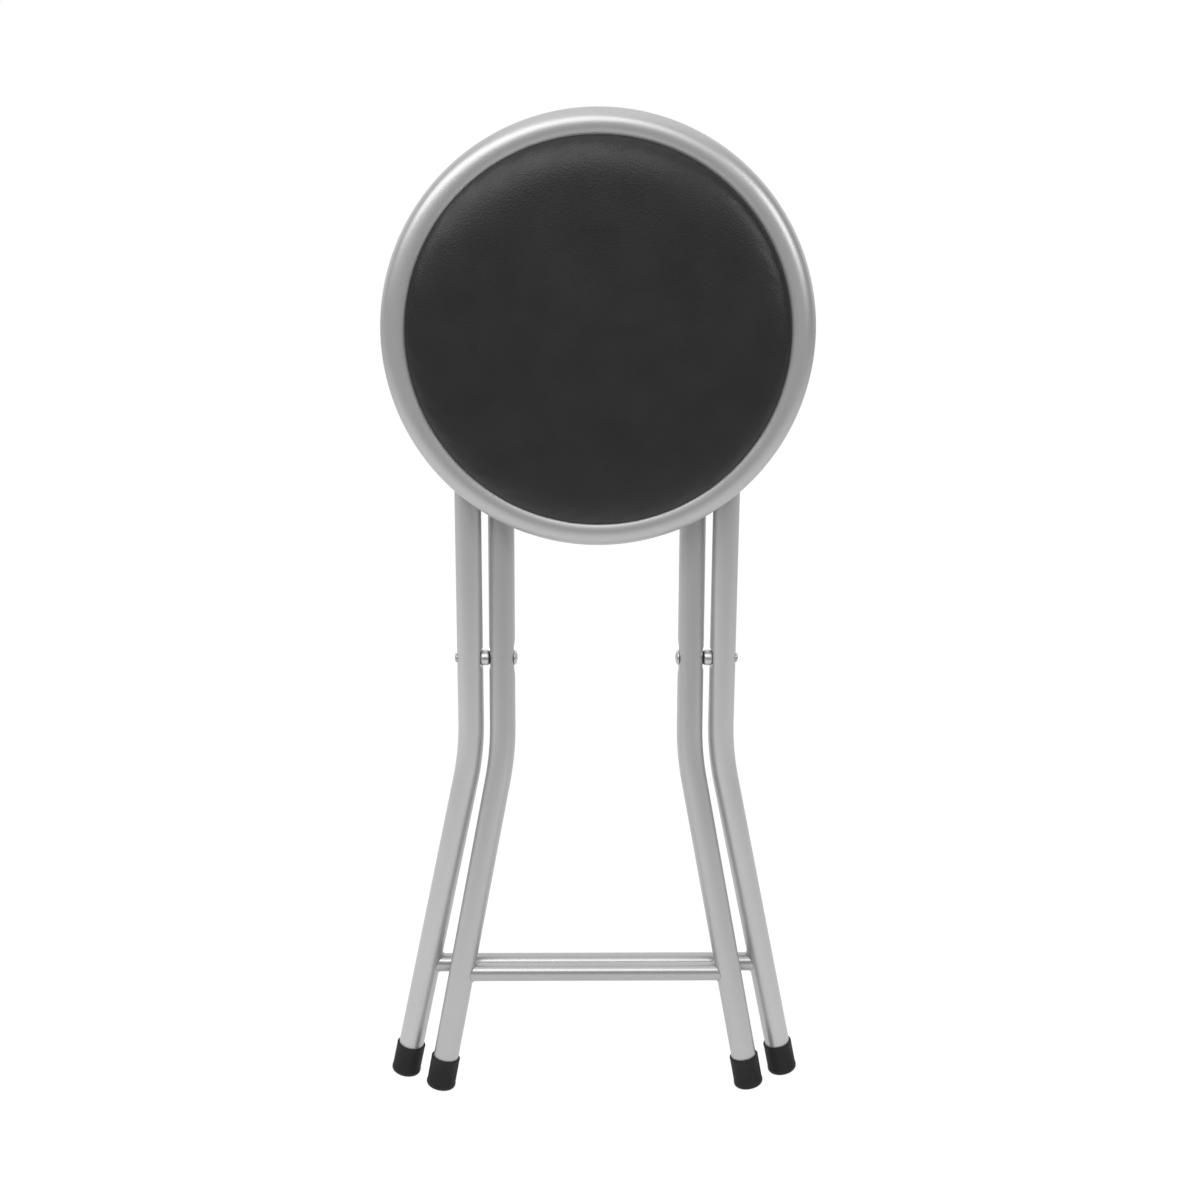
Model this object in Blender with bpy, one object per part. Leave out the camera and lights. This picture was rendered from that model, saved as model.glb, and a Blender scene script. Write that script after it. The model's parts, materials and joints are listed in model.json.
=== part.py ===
"""Folding stool: a round padded seat in a tube ring, on two tube frames that cross and fold flat.

The stool stands folded, with the face of its seat towards -Y and its feet on Z = 0.
"""

import math

import bmesh
import bpy
from mathutils import Vector

# Seat, in metres
SEAT_DIAMETER = 0.300
RING_TUBE = 0.019
RING_WALL = 0.0012
RING_VENT_RADIUS = 0.0015
BOARD_THICKNESS = 0.007
BOARD_BACK = 0.0056
COVER_THICKNESS = 0.0008
COVER_HEM = 0.0145
PAD_PROUD_OF_RING = 0.004
PAD_WIDEST = 0.0055
PAD_BULGE = 0.0011
PAD_CORNER = 0.002
PAD_CROWN_POWER = 6.0

# Tubes of the two frames
LEG_TUBE = 0.019
LEG_WALL = 0.0012
BAR_TUBE = 0.014
BAR_WALL = 0.001
INNER_LEG_SPACING = 0.1383
SPACE_BETWEEN_FRAMES = 0.0044
PIVOT_TO_BEND = 0.0728
PIVOT_TO_BAR = 0.2469
PIVOT_TO_SOLE = 0.3407
INNER_SPLAY = math.radians(10.6)
OUTER_SPLAY = math.radians(11.7)
BEND_RADIUS = 0.225
TOP_CORNER_RADIUS = 0.030
OPEN_HALF_ANGLE = math.radians(30.0)

# The pressed flats where the rivets pass through the inner legs
FLAT_DEPTH = 0.0009
FLAT_HALF_LENGTH = 0.0065
FLAT_REACH = 0.015

# Rivets, bushes and washers of the main pivot
RIVET_SHANK_RADIUS = 0.003
RIVET_HOLE_CLEARANCE = 0.0003
PIVOT_HEAD_RADIUS = 0.0055
PIVOT_HEAD_HEIGHT = 0.0027
PEENED_RADIUS = 0.0034
PEENED_HEIGHT = 0.0016
BUSH_RADIUS = 0.0058
BUSH_EDGE = 0.0018
WASHER_RADIUS = 0.0052
WASHER_THICKNESS = 0.0005

# Seat hinge and its brackets
LEG_BEHIND_RING = 0.0004
HINGE_IN_FROM_EDGE = 0.070
BRACKET_SHEET = 0.0015
BRACKET_SIDE_CLEARANCE = 0.0005
BRACKET_BEND_RADIUS = 0.0012
BRACKET_EAR_RADIUS = 0.008
BRACKET_EAR_START = 0.008
BRACKET_EAR_END = 0.024
BRACKET_TONGUE_END = 0.038
BRACKET_SCREWS = (0.017, 0.031)
HINGE_HEAD_RADIUS = 0.005
HINGE_HEAD_HEIGHT = 0.002

# Catches that take the top bar of the inner frame when the stool is open
CATCH_WALL = 0.0025
CATCH_WIDTH = 0.020
CATCH_TO_CORNER = 0.004
CATCH_FLANGE = 0.002
CATCH_FLANGE_REACH = 0.024
CATCH_SCREW_REACH = 0.018
CATCH_NEAR_LIP = math.radians(50.0)
CATCH_FAR_LIP = math.radians(110.0)

# Tabs that carry the board in the ring
TAB_ANGLES = (0.0, 90.0, 180.0, 270.0)
TAB_WIDTH = 0.020
TAB_SHEET = 0.0015
TAB_SCREW_TO_HEM = 0.004

# Wood screws
SCREW_RADIUS = 0.00175
SCREW_HEAD_RADIUS = 0.0036
SCREW_HEAD_HEIGHT = 0.0021
SCREW_TIP = 0.002
SCREW_IN_BOARD = 0.005

# Foot caps
CAP_HEIGHT = 0.025
CAP_FLOOR = 0.004
CAP_WALL = 0.0012
CAP_FLARE = 0.0003
CAP_EDGE = 0.003
CAP_LIP = 0.0007

# Clearance between pieces that touch on the real stool
GAP = 0.0003

# Facets
LEG_BORE_SIDES = 10
LEG_SIDES = 2 * LEG_BORE_SIDES
BAR_SIDES = 16
SEAT_SEGMENTS = 48
RING_SIDES = 14
RING_BORE_SIDES = 8
TURNED_SEGMENTS = 14
BUSH_SEGMENTS = 20
SCREW_SEGMENTS = 10
BEND_STEPS = 4
CORNER_STEPS = 6
DOME_STEPS = 3
CUTTER_SIDES = 32

# Sizes that follow from those above
LEG_RADIUS = LEG_TUBE / 2
BAR_RADIUS = BAR_TUBE / 2
RING_RADIUS = (SEAT_DIAMETER - RING_TUBE) / 2
INNER_X = INNER_LEG_SPACING / 2
OUTER_X = INNER_X + LEG_TUBE + SPACE_BETWEEN_FRAMES
HOLE_RADIUS = RIVET_SHANK_RADIUS + RIVET_HOLE_CLEARANCE
FOLDED_HALF_ANGLE = math.asin((LEG_RADIUS + BAR_RADIUS + GAP) / (2 * PIVOT_TO_BAR))
BOARD_RADIUS = RING_RADIUS - RING_TUBE / 2 - COVER_THICKNESS - 2 * GAP
HEM_RADIUS = BOARD_RADIUS - COVER_HEM
RING_TO_HINGE = RING_TUBE / 2 + LEG_RADIUS + LEG_BEHIND_RING
HINGE_TO_SEAT_CENTRE = SEAT_DIAMETER / 2 - HINGE_IN_FROM_EDGE
PIVOT_TO_TOP = HINGE_TO_SEAT_CENTRE / math.sin(OPEN_HALF_ANGLE)
BOARD_BACK_N = RING_TO_HINGE - BOARD_BACK
HEM_BACK_N = BOARD_BACK_N - GAP - COVER_THICKNESS
CATCH_CENTRE = 2 * PIVOT_TO_TOP * math.sin(OPEN_HALF_ANGLE)
CATCH_OFFSET = INNER_X - TOP_CORNER_RADIUS - CATCH_TO_CORNER - CATCH_WIDTH / 2
TAB_SCREW_RADIUS = HEM_RADIUS - TAB_SCREW_TO_HEM
INNER_LEG = (INNER_X, INNER_SPLAY)
OUTER_LEG = (OUTER_X, OUTER_SPLAY)
SEAT_CENTRE = Vector((0.0, HINGE_TO_SEAT_CENTRE, RING_TO_HINGE))


def material(name, colour, roughness, metallic):
    """A plain finish for one kind of piece."""
    made = bpy.data.materials.new(name)
    made.use_nodes = True
    shader = made.node_tree.nodes["Principled BSDF"]
    shader.inputs["Base Color"].default_value = (*colour, 1.0)
    shader.inputs["Roughness"].default_value = roughness
    shader.inputs["Metallic"].default_value = metallic
    return made


def make_object(name, mesh_data, finish, parent, location=(0, 0, 0), rotation=(0, 0, 0)):
    """Turns a closed bmesh into a named object under its parent."""
    bmesh.ops.recalc_face_normals(mesh_data, faces=mesh_data.faces)
    mesh = bpy.data.meshes.new(name)
    mesh_data.to_mesh(mesh)
    mesh_data.free()
    mesh.shade_smooth()
    mesh.set_sharp_from_angle(angle=math.radians(35.0))
    if finish is not None:
        mesh.materials.append(finish)
    made = bpy.data.objects.new(name, mesh)
    bpy.context.collection.objects.link(made)
    made.parent = parent
    made.location = location
    made.rotation_euler = rotation
    return made


def make_cutter(name, mesh_data, parent, location=(0, 0, 0), rotation=(0, 0, 0)):
    """A shape that is only cut away from others."""
    made = make_object(name, mesh_data, None, parent, location, rotation)
    made.hide_render = True
    made.display_type = "WIRE"
    return made


def boolean(target, tool, operation="DIFFERENCE"):
    """Cuts the tool from the target, or keeps what they share."""
    modifier = target.modifiers.new(tool.name, "BOOLEAN")
    modifier.object = tool
    modifier.operation = operation
    modifier.solver = "EXACT"


def make_empty(name, parent, location, turn):
    """An empty on a joint's axis, turned about X."""
    made = bpy.data.objects.new(name, None)
    bpy.context.collection.objects.link(made)
    made.parent = parent
    made.location = location
    made.rotation_euler = (turn, 0.0, 0.0)
    return made


def join_rings(mesh_data, first, second):
    """Faces between two rings of vertices. A ring of one vertex closes the shape."""
    count = max(len(first), len(second))
    for i in range(count):
        j = (i + 1) % count
        if len(first) == 1:
            corners = (first[0], second[i], second[j])
        elif len(second) == 1:
            corners = (first[i], second[0], first[j])
        else:
            corners = (first[i], second[i], second[j], first[j])
        mesh_data.faces.new(corners)


def revolve(mesh_data, profile, segments, closed=False):
    """Turns (radius, height) points about Z."""
    rings = []
    for radius, height in profile:
        if radius == 0.0:
            rings.append([mesh_data.verts.new((0.0, 0.0, height))])
            continue
        ring = []
        for i in range(segments):
            angle = 2 * math.pi * i / segments
            ring.append(mesh_data.verts.new((radius * math.cos(angle), radius * math.sin(angle), height)))
        rings.append(ring)
    for first, second in zip(rings, rings[1:]):
        join_rings(mesh_data, first, second)
    if closed:
        join_rings(mesh_data, rings[-1], rings[0])


def circle_points(centre, radius, start, end, steps):
    """Points on an arc, with both ends. Angles run from the second axis towards the first."""
    points = []
    for i in range(steps + 1):
        angle = start + (end - start) * i / steps
        points.append((centre[0] + radius * math.sin(angle), centre[1] + radius * math.cos(angle)))
    return points


def prism(mesh_data, outline, low, high, place):
    """Extrudes an outline. place(a, b, depth) gives a point of the solid."""
    rings = []
    for depth in (low, high):
        rings.append([mesh_data.verts.new(place(a, b, depth)) for a, b in outline])
    join_rings(mesh_data, rings[0], rings[1])
    mesh_data.faces.new(rings[0])
    mesh_data.faces.new(list(reversed(rings[1])))


def cylinder(radius, low, high, segments):
    """A solid cylinder on Z."""
    mesh_data = bmesh.new()
    revolve(mesh_data, [(0.0, low), (radius, low), (radius, high), (0.0, high)], segments)
    return mesh_data


def flat_width(height):
    """Half the width of an inner leg across X at a height above the pivot."""
    outside = (abs(height) - FLAT_HALF_LENGTH) / (FLAT_REACH - FLAT_HALF_LENGTH)
    share = min(max(outside, 0.0), 1.0)
    return LEG_RADIUS - FLAT_DEPTH * (1 - share * share * (3 - 2 * share))


def leg_x(leg, height):
    """Where the axis of a leg lies across X, at a height below the bend."""
    half_spacing, splay = leg
    return half_spacing + (-height - PIVOT_TO_BEND) * math.tan(splay)


def sole_point(leg, side):
    """The centre of a foot cap's sole."""
    return Vector((side * leg_x(leg, -PIVOT_TO_SOLE), 0.0, -PIVOT_TO_SOLE))


def leg_path(leg):
    """Stations of the right leg from its foot end up past the bend: x, z, direction, whether pressed flat."""
    half_spacing, splay = leg
    up = Vector((-math.sin(splay), math.cos(splay)))
    sole = sole_point(leg, 1)
    end = Vector((sole.x, sole.z)) + up * (CAP_FLOOR + GAP)
    stations = [(end.x, end.y, splay, False)]
    setback = BEND_RADIUS * math.tan(splay / 2)
    centre_x = half_spacing + BEND_RADIUS
    centre_z = -PIVOT_TO_BEND + setback
    for i in range(BEND_STEPS + 1):
        angle = splay * (1 - i / BEND_STEPS)
        x = centre_x - BEND_RADIUS * math.cos(angle)
        z = centre_z - BEND_RADIUS * math.sin(angle)
        stations.append((x, z, angle, False))
    return stations


def flat_stations(half_spacing):
    """Stations along the pressed flats of an inner leg."""
    half_way = (FLAT_REACH + FLAT_HALF_LENGTH) / 2
    heights = [-FLAT_REACH, -half_way, -FLAT_HALF_LENGTH, FLAT_HALF_LENGTH, half_way, FLAT_REACH]
    return [(half_spacing, height, 0.0, True) for height in heights]


def station_ring(mesh_data, station, radius, sides, inset):
    """One ring of a tube that lies in the XZ plane, pressed flat near the pivot."""
    x, z, lean, flat = station
    width = flat_width(z) - inset if flat else radius
    across = Vector((math.cos(lean), 0.0, math.sin(lean)))
    ring = []
    for i in range(sides):
        angle = 2 * math.pi * i / sides
        offset = max(-width, min(width, radius * math.cos(angle)))
        point = Vector((x, 0.0, z)) + across * offset
        ring.append(mesh_data.verts.new((point.x, radius * math.sin(angle), point.z)))
    return ring


def tube_wall(mesh_data, stations, radius, sides, inset):
    """The skin along a row of stations."""
    rings = [station_ring(mesh_data, station, radius, sides, inset) for station in stations]
    for first, second in zip(rings, rings[1:]):
        join_rings(mesh_data, first, second)
    return rings


def close_end(mesh_data, outside, inside):
    """The cut face of an open tube, between a ring and one of half as many vertices inside it."""
    for i in range(len(inside)):
        j = (i + 1) % len(inside)
        middle = outside[2 * i + 1]
        mesh_data.faces.new((outside[2 * i], middle, inside[i]))
        mesh_data.faces.new((middle, inside[j], inside[i]))
        mesh_data.faces.new((middle, outside[2 * j], inside[j]))


def dome(mesh_data, ring_below, x, z, radius, sides):
    """Closes a tube with a half sphere about the hinge pin."""
    last = ring_below
    for step in range(1, DOME_STEPS):
        angle = math.pi / 2 * step / DOME_STEPS
        station = (x, z + radius * math.sin(angle), 0.0, False)
        ring = station_ring(mesh_data, station, radius * math.cos(angle), sides, 0.0)
        join_rings(mesh_data, last, ring)
        last = ring
    join_rings(mesh_data, last, [mesh_data.verts.new((x, 0.0, z + radius))])


def outer_leg(name, side, finish, parent, holes):
    """A leg of the outer frame: open at its foot and domed over the seat hinge."""
    mesh_data = bmesh.new()
    stations = leg_path(OUTER_LEG) + [(OUTER_X, PIVOT_TO_TOP, 0.0, False)]
    outside = tube_wall(mesh_data, stations, LEG_RADIUS, LEG_SIDES, 0.0)
    inside = tube_wall(mesh_data, stations, LEG_RADIUS - LEG_WALL, LEG_BORE_SIDES, LEG_WALL)
    close_end(mesh_data, outside[0], inside[0])
    dome(mesh_data, outside[-1], OUTER_X, PIVOT_TO_TOP, LEG_RADIUS, LEG_SIDES)
    dome(mesh_data, inside[-1], OUTER_X, PIVOT_TO_TOP, LEG_RADIUS - LEG_WALL, LEG_BORE_SIDES)
    for vertex in mesh_data.verts:
        vertex.co.x *= side
    made = make_object(name, mesh_data, finish, parent)
    for hole in holes:
        boolean(made, hole)
    return made


def inner_tube(name, finish, parent, hole):
    """The inner frame's one bent tube: two legs and the bar across their top."""
    right = leg_path(INNER_LEG) + flat_stations(INNER_X)
    corner_x = INNER_X - TOP_CORNER_RADIUS
    corner_z = PIVOT_TO_TOP - TOP_CORNER_RADIUS
    for i in range(CORNER_STEPS + 1):
        angle = math.pi / 2 * i / CORNER_STEPS
        x = corner_x + TOP_CORNER_RADIUS * math.cos(angle)
        z = corner_z + TOP_CORNER_RADIUS * math.sin(angle)
        right.append((x, z, angle, False))
    left = [(-x, z, math.pi - lean, flat) for x, z, lean, flat in reversed(right)]
    stations = right + left
    mesh_data = bmesh.new()
    outside = tube_wall(mesh_data, stations, LEG_RADIUS, LEG_SIDES, 0.0)
    inside = tube_wall(mesh_data, stations, LEG_RADIUS - LEG_WALL, LEG_BORE_SIDES, LEG_WALL)
    close_end(mesh_data, outside[0], inside[0])
    close_end(mesh_data, outside[-1], inside[-1])
    made = make_object(name, mesh_data, finish, parent)
    boolean(made, hole)
    return made


def crossbar(name, leg, finish, parent):
    """A tube between two splayed legs, with its ends coped to them."""
    reach = leg_x(leg, -PIVOT_TO_BAR)
    mesh_data = bmesh.new()
    bore = BAR_RADIUS - BAR_WALL
    profile = [(bore, -reach), (BAR_RADIUS, -reach), (BAR_RADIUS, reach), (bore, reach)]
    revolve(mesh_data, profile, BAR_SIDES, closed=True)
    made = make_object(name, mesh_data, finish, parent, (0, 0, -PIVOT_TO_BAR), (0, math.pi / 2, 0))
    for label, side in (("left", -1), ("right", 1)):
        cope = cylinder(LEG_RADIUS + GAP, -2 * LEG_TUBE, 2 * LEG_TUBE, CUTTER_SIDES)
        place = (side * reach, 0, -PIVOT_TO_BAR)
        boolean(made, make_cutter(f"{name}_cope_{label}", cope, parent, place, (0, -side * leg[1], 0)))
    return made


def foot_cap(name, leg, side, finish, parent):
    """A rubber cup on the end of a leg, flared a little towards its rounded edge."""
    bore = LEG_RADIUS + GAP
    top = bore + CAP_WALL
    bottom = top + CAP_FLARE
    profile = [(0.0, 0.0)]
    for r, z in circle_points((bottom - CAP_EDGE, CAP_EDGE), CAP_EDGE, math.pi, math.pi / 2, 3):
        profile.append((r, z))
    profile.append((top, CAP_HEIGHT - CAP_LIP))
    profile.append((top - CAP_LIP, CAP_HEIGHT))
    profile.append((bore, CAP_HEIGHT))
    profile.append((bore, CAP_FLOOR))
    profile.append((0.0, CAP_FLOOR))
    mesh_data = bmesh.new()
    revolve(mesh_data, profile, LEG_SIDES)
    return make_object(name, mesh_data, finish, parent, sole_point(leg, side), (0, -side * leg[1], 0))


def rivet(name, side, start, end, head, far_head, finish, parent, location):
    """A rivet along X. head and far_head are (radius, height) of its inner and outer end."""
    profile = [(0.0, start - head[1])]
    for angle in (30.0, 60.0):
        share = math.radians(angle)
        profile.append((head[0] * math.sin(share), start - head[1] * math.cos(share)))
    profile.append((head[0], start))
    profile.append((RIVET_SHANK_RADIUS, start))
    profile.append((RIVET_SHANK_RADIUS, end))
    profile.append((far_head[0], end))
    profile.append((far_head[0] * math.cos(math.radians(30)), end + far_head[1] / 2))
    profile.append((far_head[0] / 2, end + far_head[1]))
    profile.append((0.0, end + far_head[1]))
    mesh_data = bmesh.new()
    revolve(mesh_data, profile, TURNED_SEGMENTS)
    return make_object(name, mesh_data, finish, parent, location, (0, side * math.pi / 2, 0))


def pivot_hardware(label, side, steel, nylon, parent, leg_cope):
    """Rivet, spacer bush and washer where an outer leg crosses an inner one."""
    turn = (0, side * math.pi / 2, 0)
    start = INNER_X - flat_width(0.0) - GAP
    end = OUTER_X + LEG_RADIUS + GAP
    head = (PIVOT_HEAD_RADIUS, PIVOT_HEAD_HEIGHT)
    peened = (PEENED_RADIUS, PEENED_HEIGHT)
    rivet(f"pivot_rivet_{label}", side, start, end, head, peened, steel, parent, (0, 0, 0))

    washer_start = INNER_X + flat_width(0.0) + GAP
    washer_end = washer_start + WASHER_THICKNESS
    mesh_data = bmesh.new()
    profile = [(HOLE_RADIUS, washer_start), (WASHER_RADIUS, washer_start)]
    profile += [(WASHER_RADIUS, washer_end), (HOLE_RADIUS, washer_end)]
    revolve(mesh_data, profile, TURNED_SEGMENTS, closed=True)
    make_object(f"pivot_washer_{label}", mesh_data, nylon, parent, rotation=turn)

    # The bush is rounded towards the washer and saddled over the round side of the outer leg.
    bush_start = washer_end + GAP
    profile = [(HOLE_RADIUS, bush_start), (BUSH_RADIUS - BUSH_EDGE, bush_start)]
    profile += [(BUSH_RADIUS - BUSH_EDGE * 0.3, bush_start + BUSH_EDGE * 0.3)]
    profile += [(BUSH_RADIUS, bush_start + BUSH_EDGE), (BUSH_RADIUS, OUTER_X), (HOLE_RADIUS, OUTER_X)]
    mesh_data = bmesh.new()
    revolve(mesh_data, profile, BUSH_SEGMENTS, closed=True)
    boolean(make_object(f"spacer_bush_{label}", mesh_data, steel, parent, rotation=turn), leg_cope)


def seat_ring(finish, parent):
    """The tube rolled into a ring round the seat, hollow, with a small vent at its back."""
    rings = []
    for radius, sides in ((RING_TUBE / 2, RING_SIDES), (RING_TUBE / 2 - RING_WALL, RING_BORE_SIDES)):
        points = circle_points((RING_RADIUS, 0.0), radius, 0.0, 2 * math.pi * (sides - 1) / sides, sides - 1)
        mesh_data = bmesh.new()
        revolve(mesh_data, points, SEAT_SEGMENTS, closed=True)
        rings.append(mesh_data)
    made = make_object("seat_ring", rings[0], finish, parent, SEAT_CENTRE)
    boolean(made, make_cutter("ring_bore", rings[1], parent, SEAT_CENTRE))
    vent = cylinder(RING_VENT_RADIUS, -RING_TUBE, 0.0, SCREW_SEGMENTS)
    turn = math.pi / SEAT_SEGMENTS
    place = SEAT_CENTRE + Vector((RING_RADIUS * math.sin(turn), -RING_RADIUS * math.cos(turn), 0.0))
    boolean(made, make_cutter("ring_vent", vent, parent, place))


def pad_edge_radius():
    """The widest radius of the pad, which bulges over the inner side of the ring."""
    return BOARD_RADIUS + COVER_THICKNESS + GAP + PAD_BULGE


def crown_points(inset):
    """Pad section from its side up over the crown to the middle, inset by a thickness."""
    edge = pad_edge_radius() - inset
    low = PAD_WIDEST
    rise = RING_TUBE / 2 + PAD_PROUD_OF_RING - low - inset
    points = []
    for share in (1.0, 0.985, 0.955, 0.90, 0.81, 0.66, 0.40, 0.0):
        height = math.sqrt(1.0 - share ** PAD_CROWN_POWER)
        points.append((edge * share, low + rise * height))
    return points


def seat_pad(vinyl, foam, parent, holes):
    """Vinyl cover drawn over the foam and turned under the edge of the board, and the foam."""
    side = BOARD_RADIUS + GAP + COVER_THICKNESS
    back = -BOARD_BACK - GAP - COVER_THICKNESS
    outside = [(HEM_RADIUS, back), (side - PAD_CORNER, back), (side, back + PAD_CORNER), (side, 0.0)]
    outside += crown_points(0.0)
    inside = [(HEM_RADIUS, back + COVER_THICKNESS), (side - PAD_CORNER, back + COVER_THICKNESS)]
    inside += [(side - COVER_THICKNESS, back + PAD_CORNER), (side - COVER_THICKNESS, 0.0)]
    inside += crown_points(COVER_THICKNESS)
    mesh_data = bmesh.new()
    revolve(mesh_data, list(reversed(outside)) + inside, SEAT_SEGMENTS)
    boolean(make_object("seat_cover", mesh_data, vinyl, parent, SEAT_CENTRE), holes)

    front = BOARD_THICKNESS - BOARD_BACK + GAP
    profile = [(0.0, front), (BOARD_RADIUS, front)] + crown_points(COVER_THICKNESS + GAP)
    mesh_data = bmesh.new()
    revolve(mesh_data, profile, SEAT_SEGMENTS)
    make_object("seat_foam", mesh_data, foam, parent, SEAT_CENTRE)


def screw_places():
    """Where each wood screw goes: group, x, y and the height of the face under its head."""
    places = []
    bracket_back = HEM_BACK_N - GAP - BRACKET_SHEET
    catch_back = BOARD_BACK_N - GAP - CATCH_FLANGE
    tab_back = HEM_BACK_N - GAP - TAB_SHEET
    for label, side in (("left", -1), ("right", 1)):
        for number, reach in enumerate(BRACKET_SCREWS, 1):
            places.append((f"bracket_screw_{label}_{number}", side * OUTER_X, reach, bracket_back))
    for label, side in (("left", -1), ("right", 1)):
        for number, reach in enumerate((-CATCH_SCREW_REACH, CATCH_SCREW_REACH), 1):
            places.append((f"catch_screw_{label}_{number}", side * CATCH_OFFSET, CATCH_CENTRE + reach, catch_back))
    for number, angle in enumerate(TAB_ANGLES, 1):
        x = TAB_SCREW_RADIUS * math.cos(math.radians(angle))
        y = HINGE_TO_SEAT_CENTRE + TAB_SCREW_RADIUS * math.sin(math.radians(angle))
        places.append((f"tab_screw_{number}", x, y, tab_back))
    return places


def screws(steel, parent):
    """Pan-head wood screws into the back of the board."""
    for name, x, y, face in screw_places():
        head = face - GAP
        tip = BOARD_BACK_N + SCREW_IN_BOARD
        profile = [(0.0, head - SCREW_HEAD_HEIGHT), (SCREW_HEAD_RADIUS * 0.6, head - SCREW_HEAD_HEIGHT)]
        profile += [(SCREW_HEAD_RADIUS, head - SCREW_HEAD_HEIGHT / 2), (SCREW_HEAD_RADIUS, head)]
        profile += [(SCREW_RADIUS, head), (SCREW_RADIUS, tip - SCREW_TIP), (0.0, tip)]
        mesh_data = bmesh.new()
        revolve(mesh_data, profile, SCREW_SEGMENTS)
        make_object(name, mesh_data, steel, parent, (x, y, 0.0))


def screw_holes(name, group, parent):
    """One cutter for the holes of a group of screws."""
    mesh_data = bmesh.new()
    for label, x, y, face in screw_places():
        if not label.startswith(group):
            continue
        low = face - SCREW_HEAD_HEIGHT
        high = BOARD_BACK_N + SCREW_IN_BOARD + GAP
        rim = [(0.0, low), (SCREW_RADIUS + GAP, low), (SCREW_RADIUS + GAP, high), (0.0, high)]
        first = len(mesh_data.verts)
        revolve(mesh_data, rim, SCREW_SEGMENTS)
        mesh_data.verts.ensure_lookup_table()
        for vertex in mesh_data.verts[first:]:
            vertex.co.x += x
            vertex.co.y += y
    return make_cutter(name, mesh_data, parent)


def seat_board(wood, parent, holes):
    """The board that carries the pad, with holes for its screws."""
    low = BOARD_BACK_N
    high = low + BOARD_THICKNESS
    profile = [(0.0, low), (BOARD_RADIUS - PAD_CORNER, low), (BOARD_RADIUS, low + PAD_CORNER)]
    profile += [(BOARD_RADIUS, high), (0.0, high)]
    mesh_data = bmesh.new()
    revolve(mesh_data, profile, SEAT_SEGMENTS)
    made = make_object("seat_board", mesh_data, wood, parent, (0, HINGE_TO_SEAT_CENTRE, 0))
    boolean(made, holes)


def bracket_section():
    """A channel of bent sheet across X, about the leg: (x, n) points."""
    inside = LEG_RADIUS + BRACKET_SIDE_CLEARANCE
    outside = inside + BRACKET_SHEET
    top = HEM_BACK_N - GAP
    low = -BRACKET_EAR_RADIUS - LEG_RADIUS
    bend = BRACKET_BEND_RADIUS
    under = top - BRACKET_SHEET
    outline = [(outside, low)]
    wide = bend + BRACKET_SHEET
    outline += circle_points((outside - wide, top - wide), wide, math.pi / 2, 0.0, 3)
    outline += circle_points((-outside + wide, top - wide), wide, 0.0, -math.pi / 2, 3)
    outline += [(-outside, low), (-inside, low)]
    outline += circle_points((-inside + bend, under - bend), bend, -math.pi / 2, 0.0, 3)
    outline += circle_points((inside - bend, under - bend), bend, 0.0, math.pi / 2, 3)
    outline.append((inside, low))
    return outline


def bracket_side_view():
    """The outline of a bracket seen along the hinge: (y, n) points."""
    top = HEM_BACK_N - GAP
    under = top - BRACKET_SHEET
    radius = BRACKET_EAR_RADIUS
    margin = BRACKET_SHEET
    outline = [(BRACKET_EAR_START, top + margin), (BRACKET_TONGUE_END, top + margin)]
    outline += [(BRACKET_TONGUE_END, under - margin / 4), (BRACKET_EAR_END, under - margin / 4)]
    far = math.atan2(BRACKET_EAR_END, under) + math.acos(radius / math.hypot(BRACKET_EAR_END, under))
    near = math.atan2(BRACKET_EAR_START, top) - math.acos(radius / math.hypot(BRACKET_EAR_START, top))
    outline += circle_points((0.0, 0.0), radius, far, 2 * math.pi + near, 10)
    outline.append((BRACKET_EAR_START, top))
    return outline


def hinge_bracket(label, side, steel, parent, pin_hole, holes):
    """A channel bracket screwed behind the board, whose two ears hold the top of a leg."""
    mesh_data = bmesh.new()
    reach = BRACKET_TONGUE_END + LEG_TUBE
    prism(mesh_data, bracket_section(), -reach, reach, lambda a, b, d: (side * OUTER_X + a, d, b))
    made = make_object(f"hinge_bracket_{label}", mesh_data, steel, parent)
    outline = bmesh.new()
    wide = LEG_TUBE
    prism(outline, bracket_side_view(), -wide, wide, lambda a, b, d: (side * OUTER_X + d, a, b))
    boolean(made, make_cutter(f"bracket_outline_{label}", outline, parent), "INTERSECT")
    boolean(made, pin_hole)
    boolean(made, holes)


def catch(label, side, plastic, parent, holes):
    """A hooked saddle on the back of the board that takes the inner frame's top bar."""
    centre = (CATCH_CENTRE, 0.0)
    inside = LEG_RADIUS + GAP
    outside = inside + CATCH_WALL
    top = BOARD_BACK_N - GAP
    under = top - CATCH_FLANGE
    meets = math.acos(under / outside)
    outline = [(CATCH_CENTRE - CATCH_FLANGE_REACH, top), (CATCH_CENTRE - CATCH_FLANGE_REACH, under)]
    outline += circle_points(centre, outside, -meets, -CATCH_NEAR_LIP, 3)
    outline += circle_points(centre, inside, -CATCH_NEAR_LIP, CATCH_FAR_LIP, 12)
    outline += circle_points(centre, outside, CATCH_FAR_LIP, meets, 8)
    outline += [(CATCH_CENTRE + CATCH_FLANGE_REACH, under), (CATCH_CENTRE + CATCH_FLANGE_REACH, top)]
    mesh_data = bmesh.new()
    low = side * CATCH_OFFSET - CATCH_WIDTH / 2
    prism(mesh_data, outline, low, low + CATCH_WIDTH, lambda a, b, d: (d, a, b))
    made = make_object(f"catch_{label}", mesh_data, plastic, parent)
    boolean(made, holes)


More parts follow.
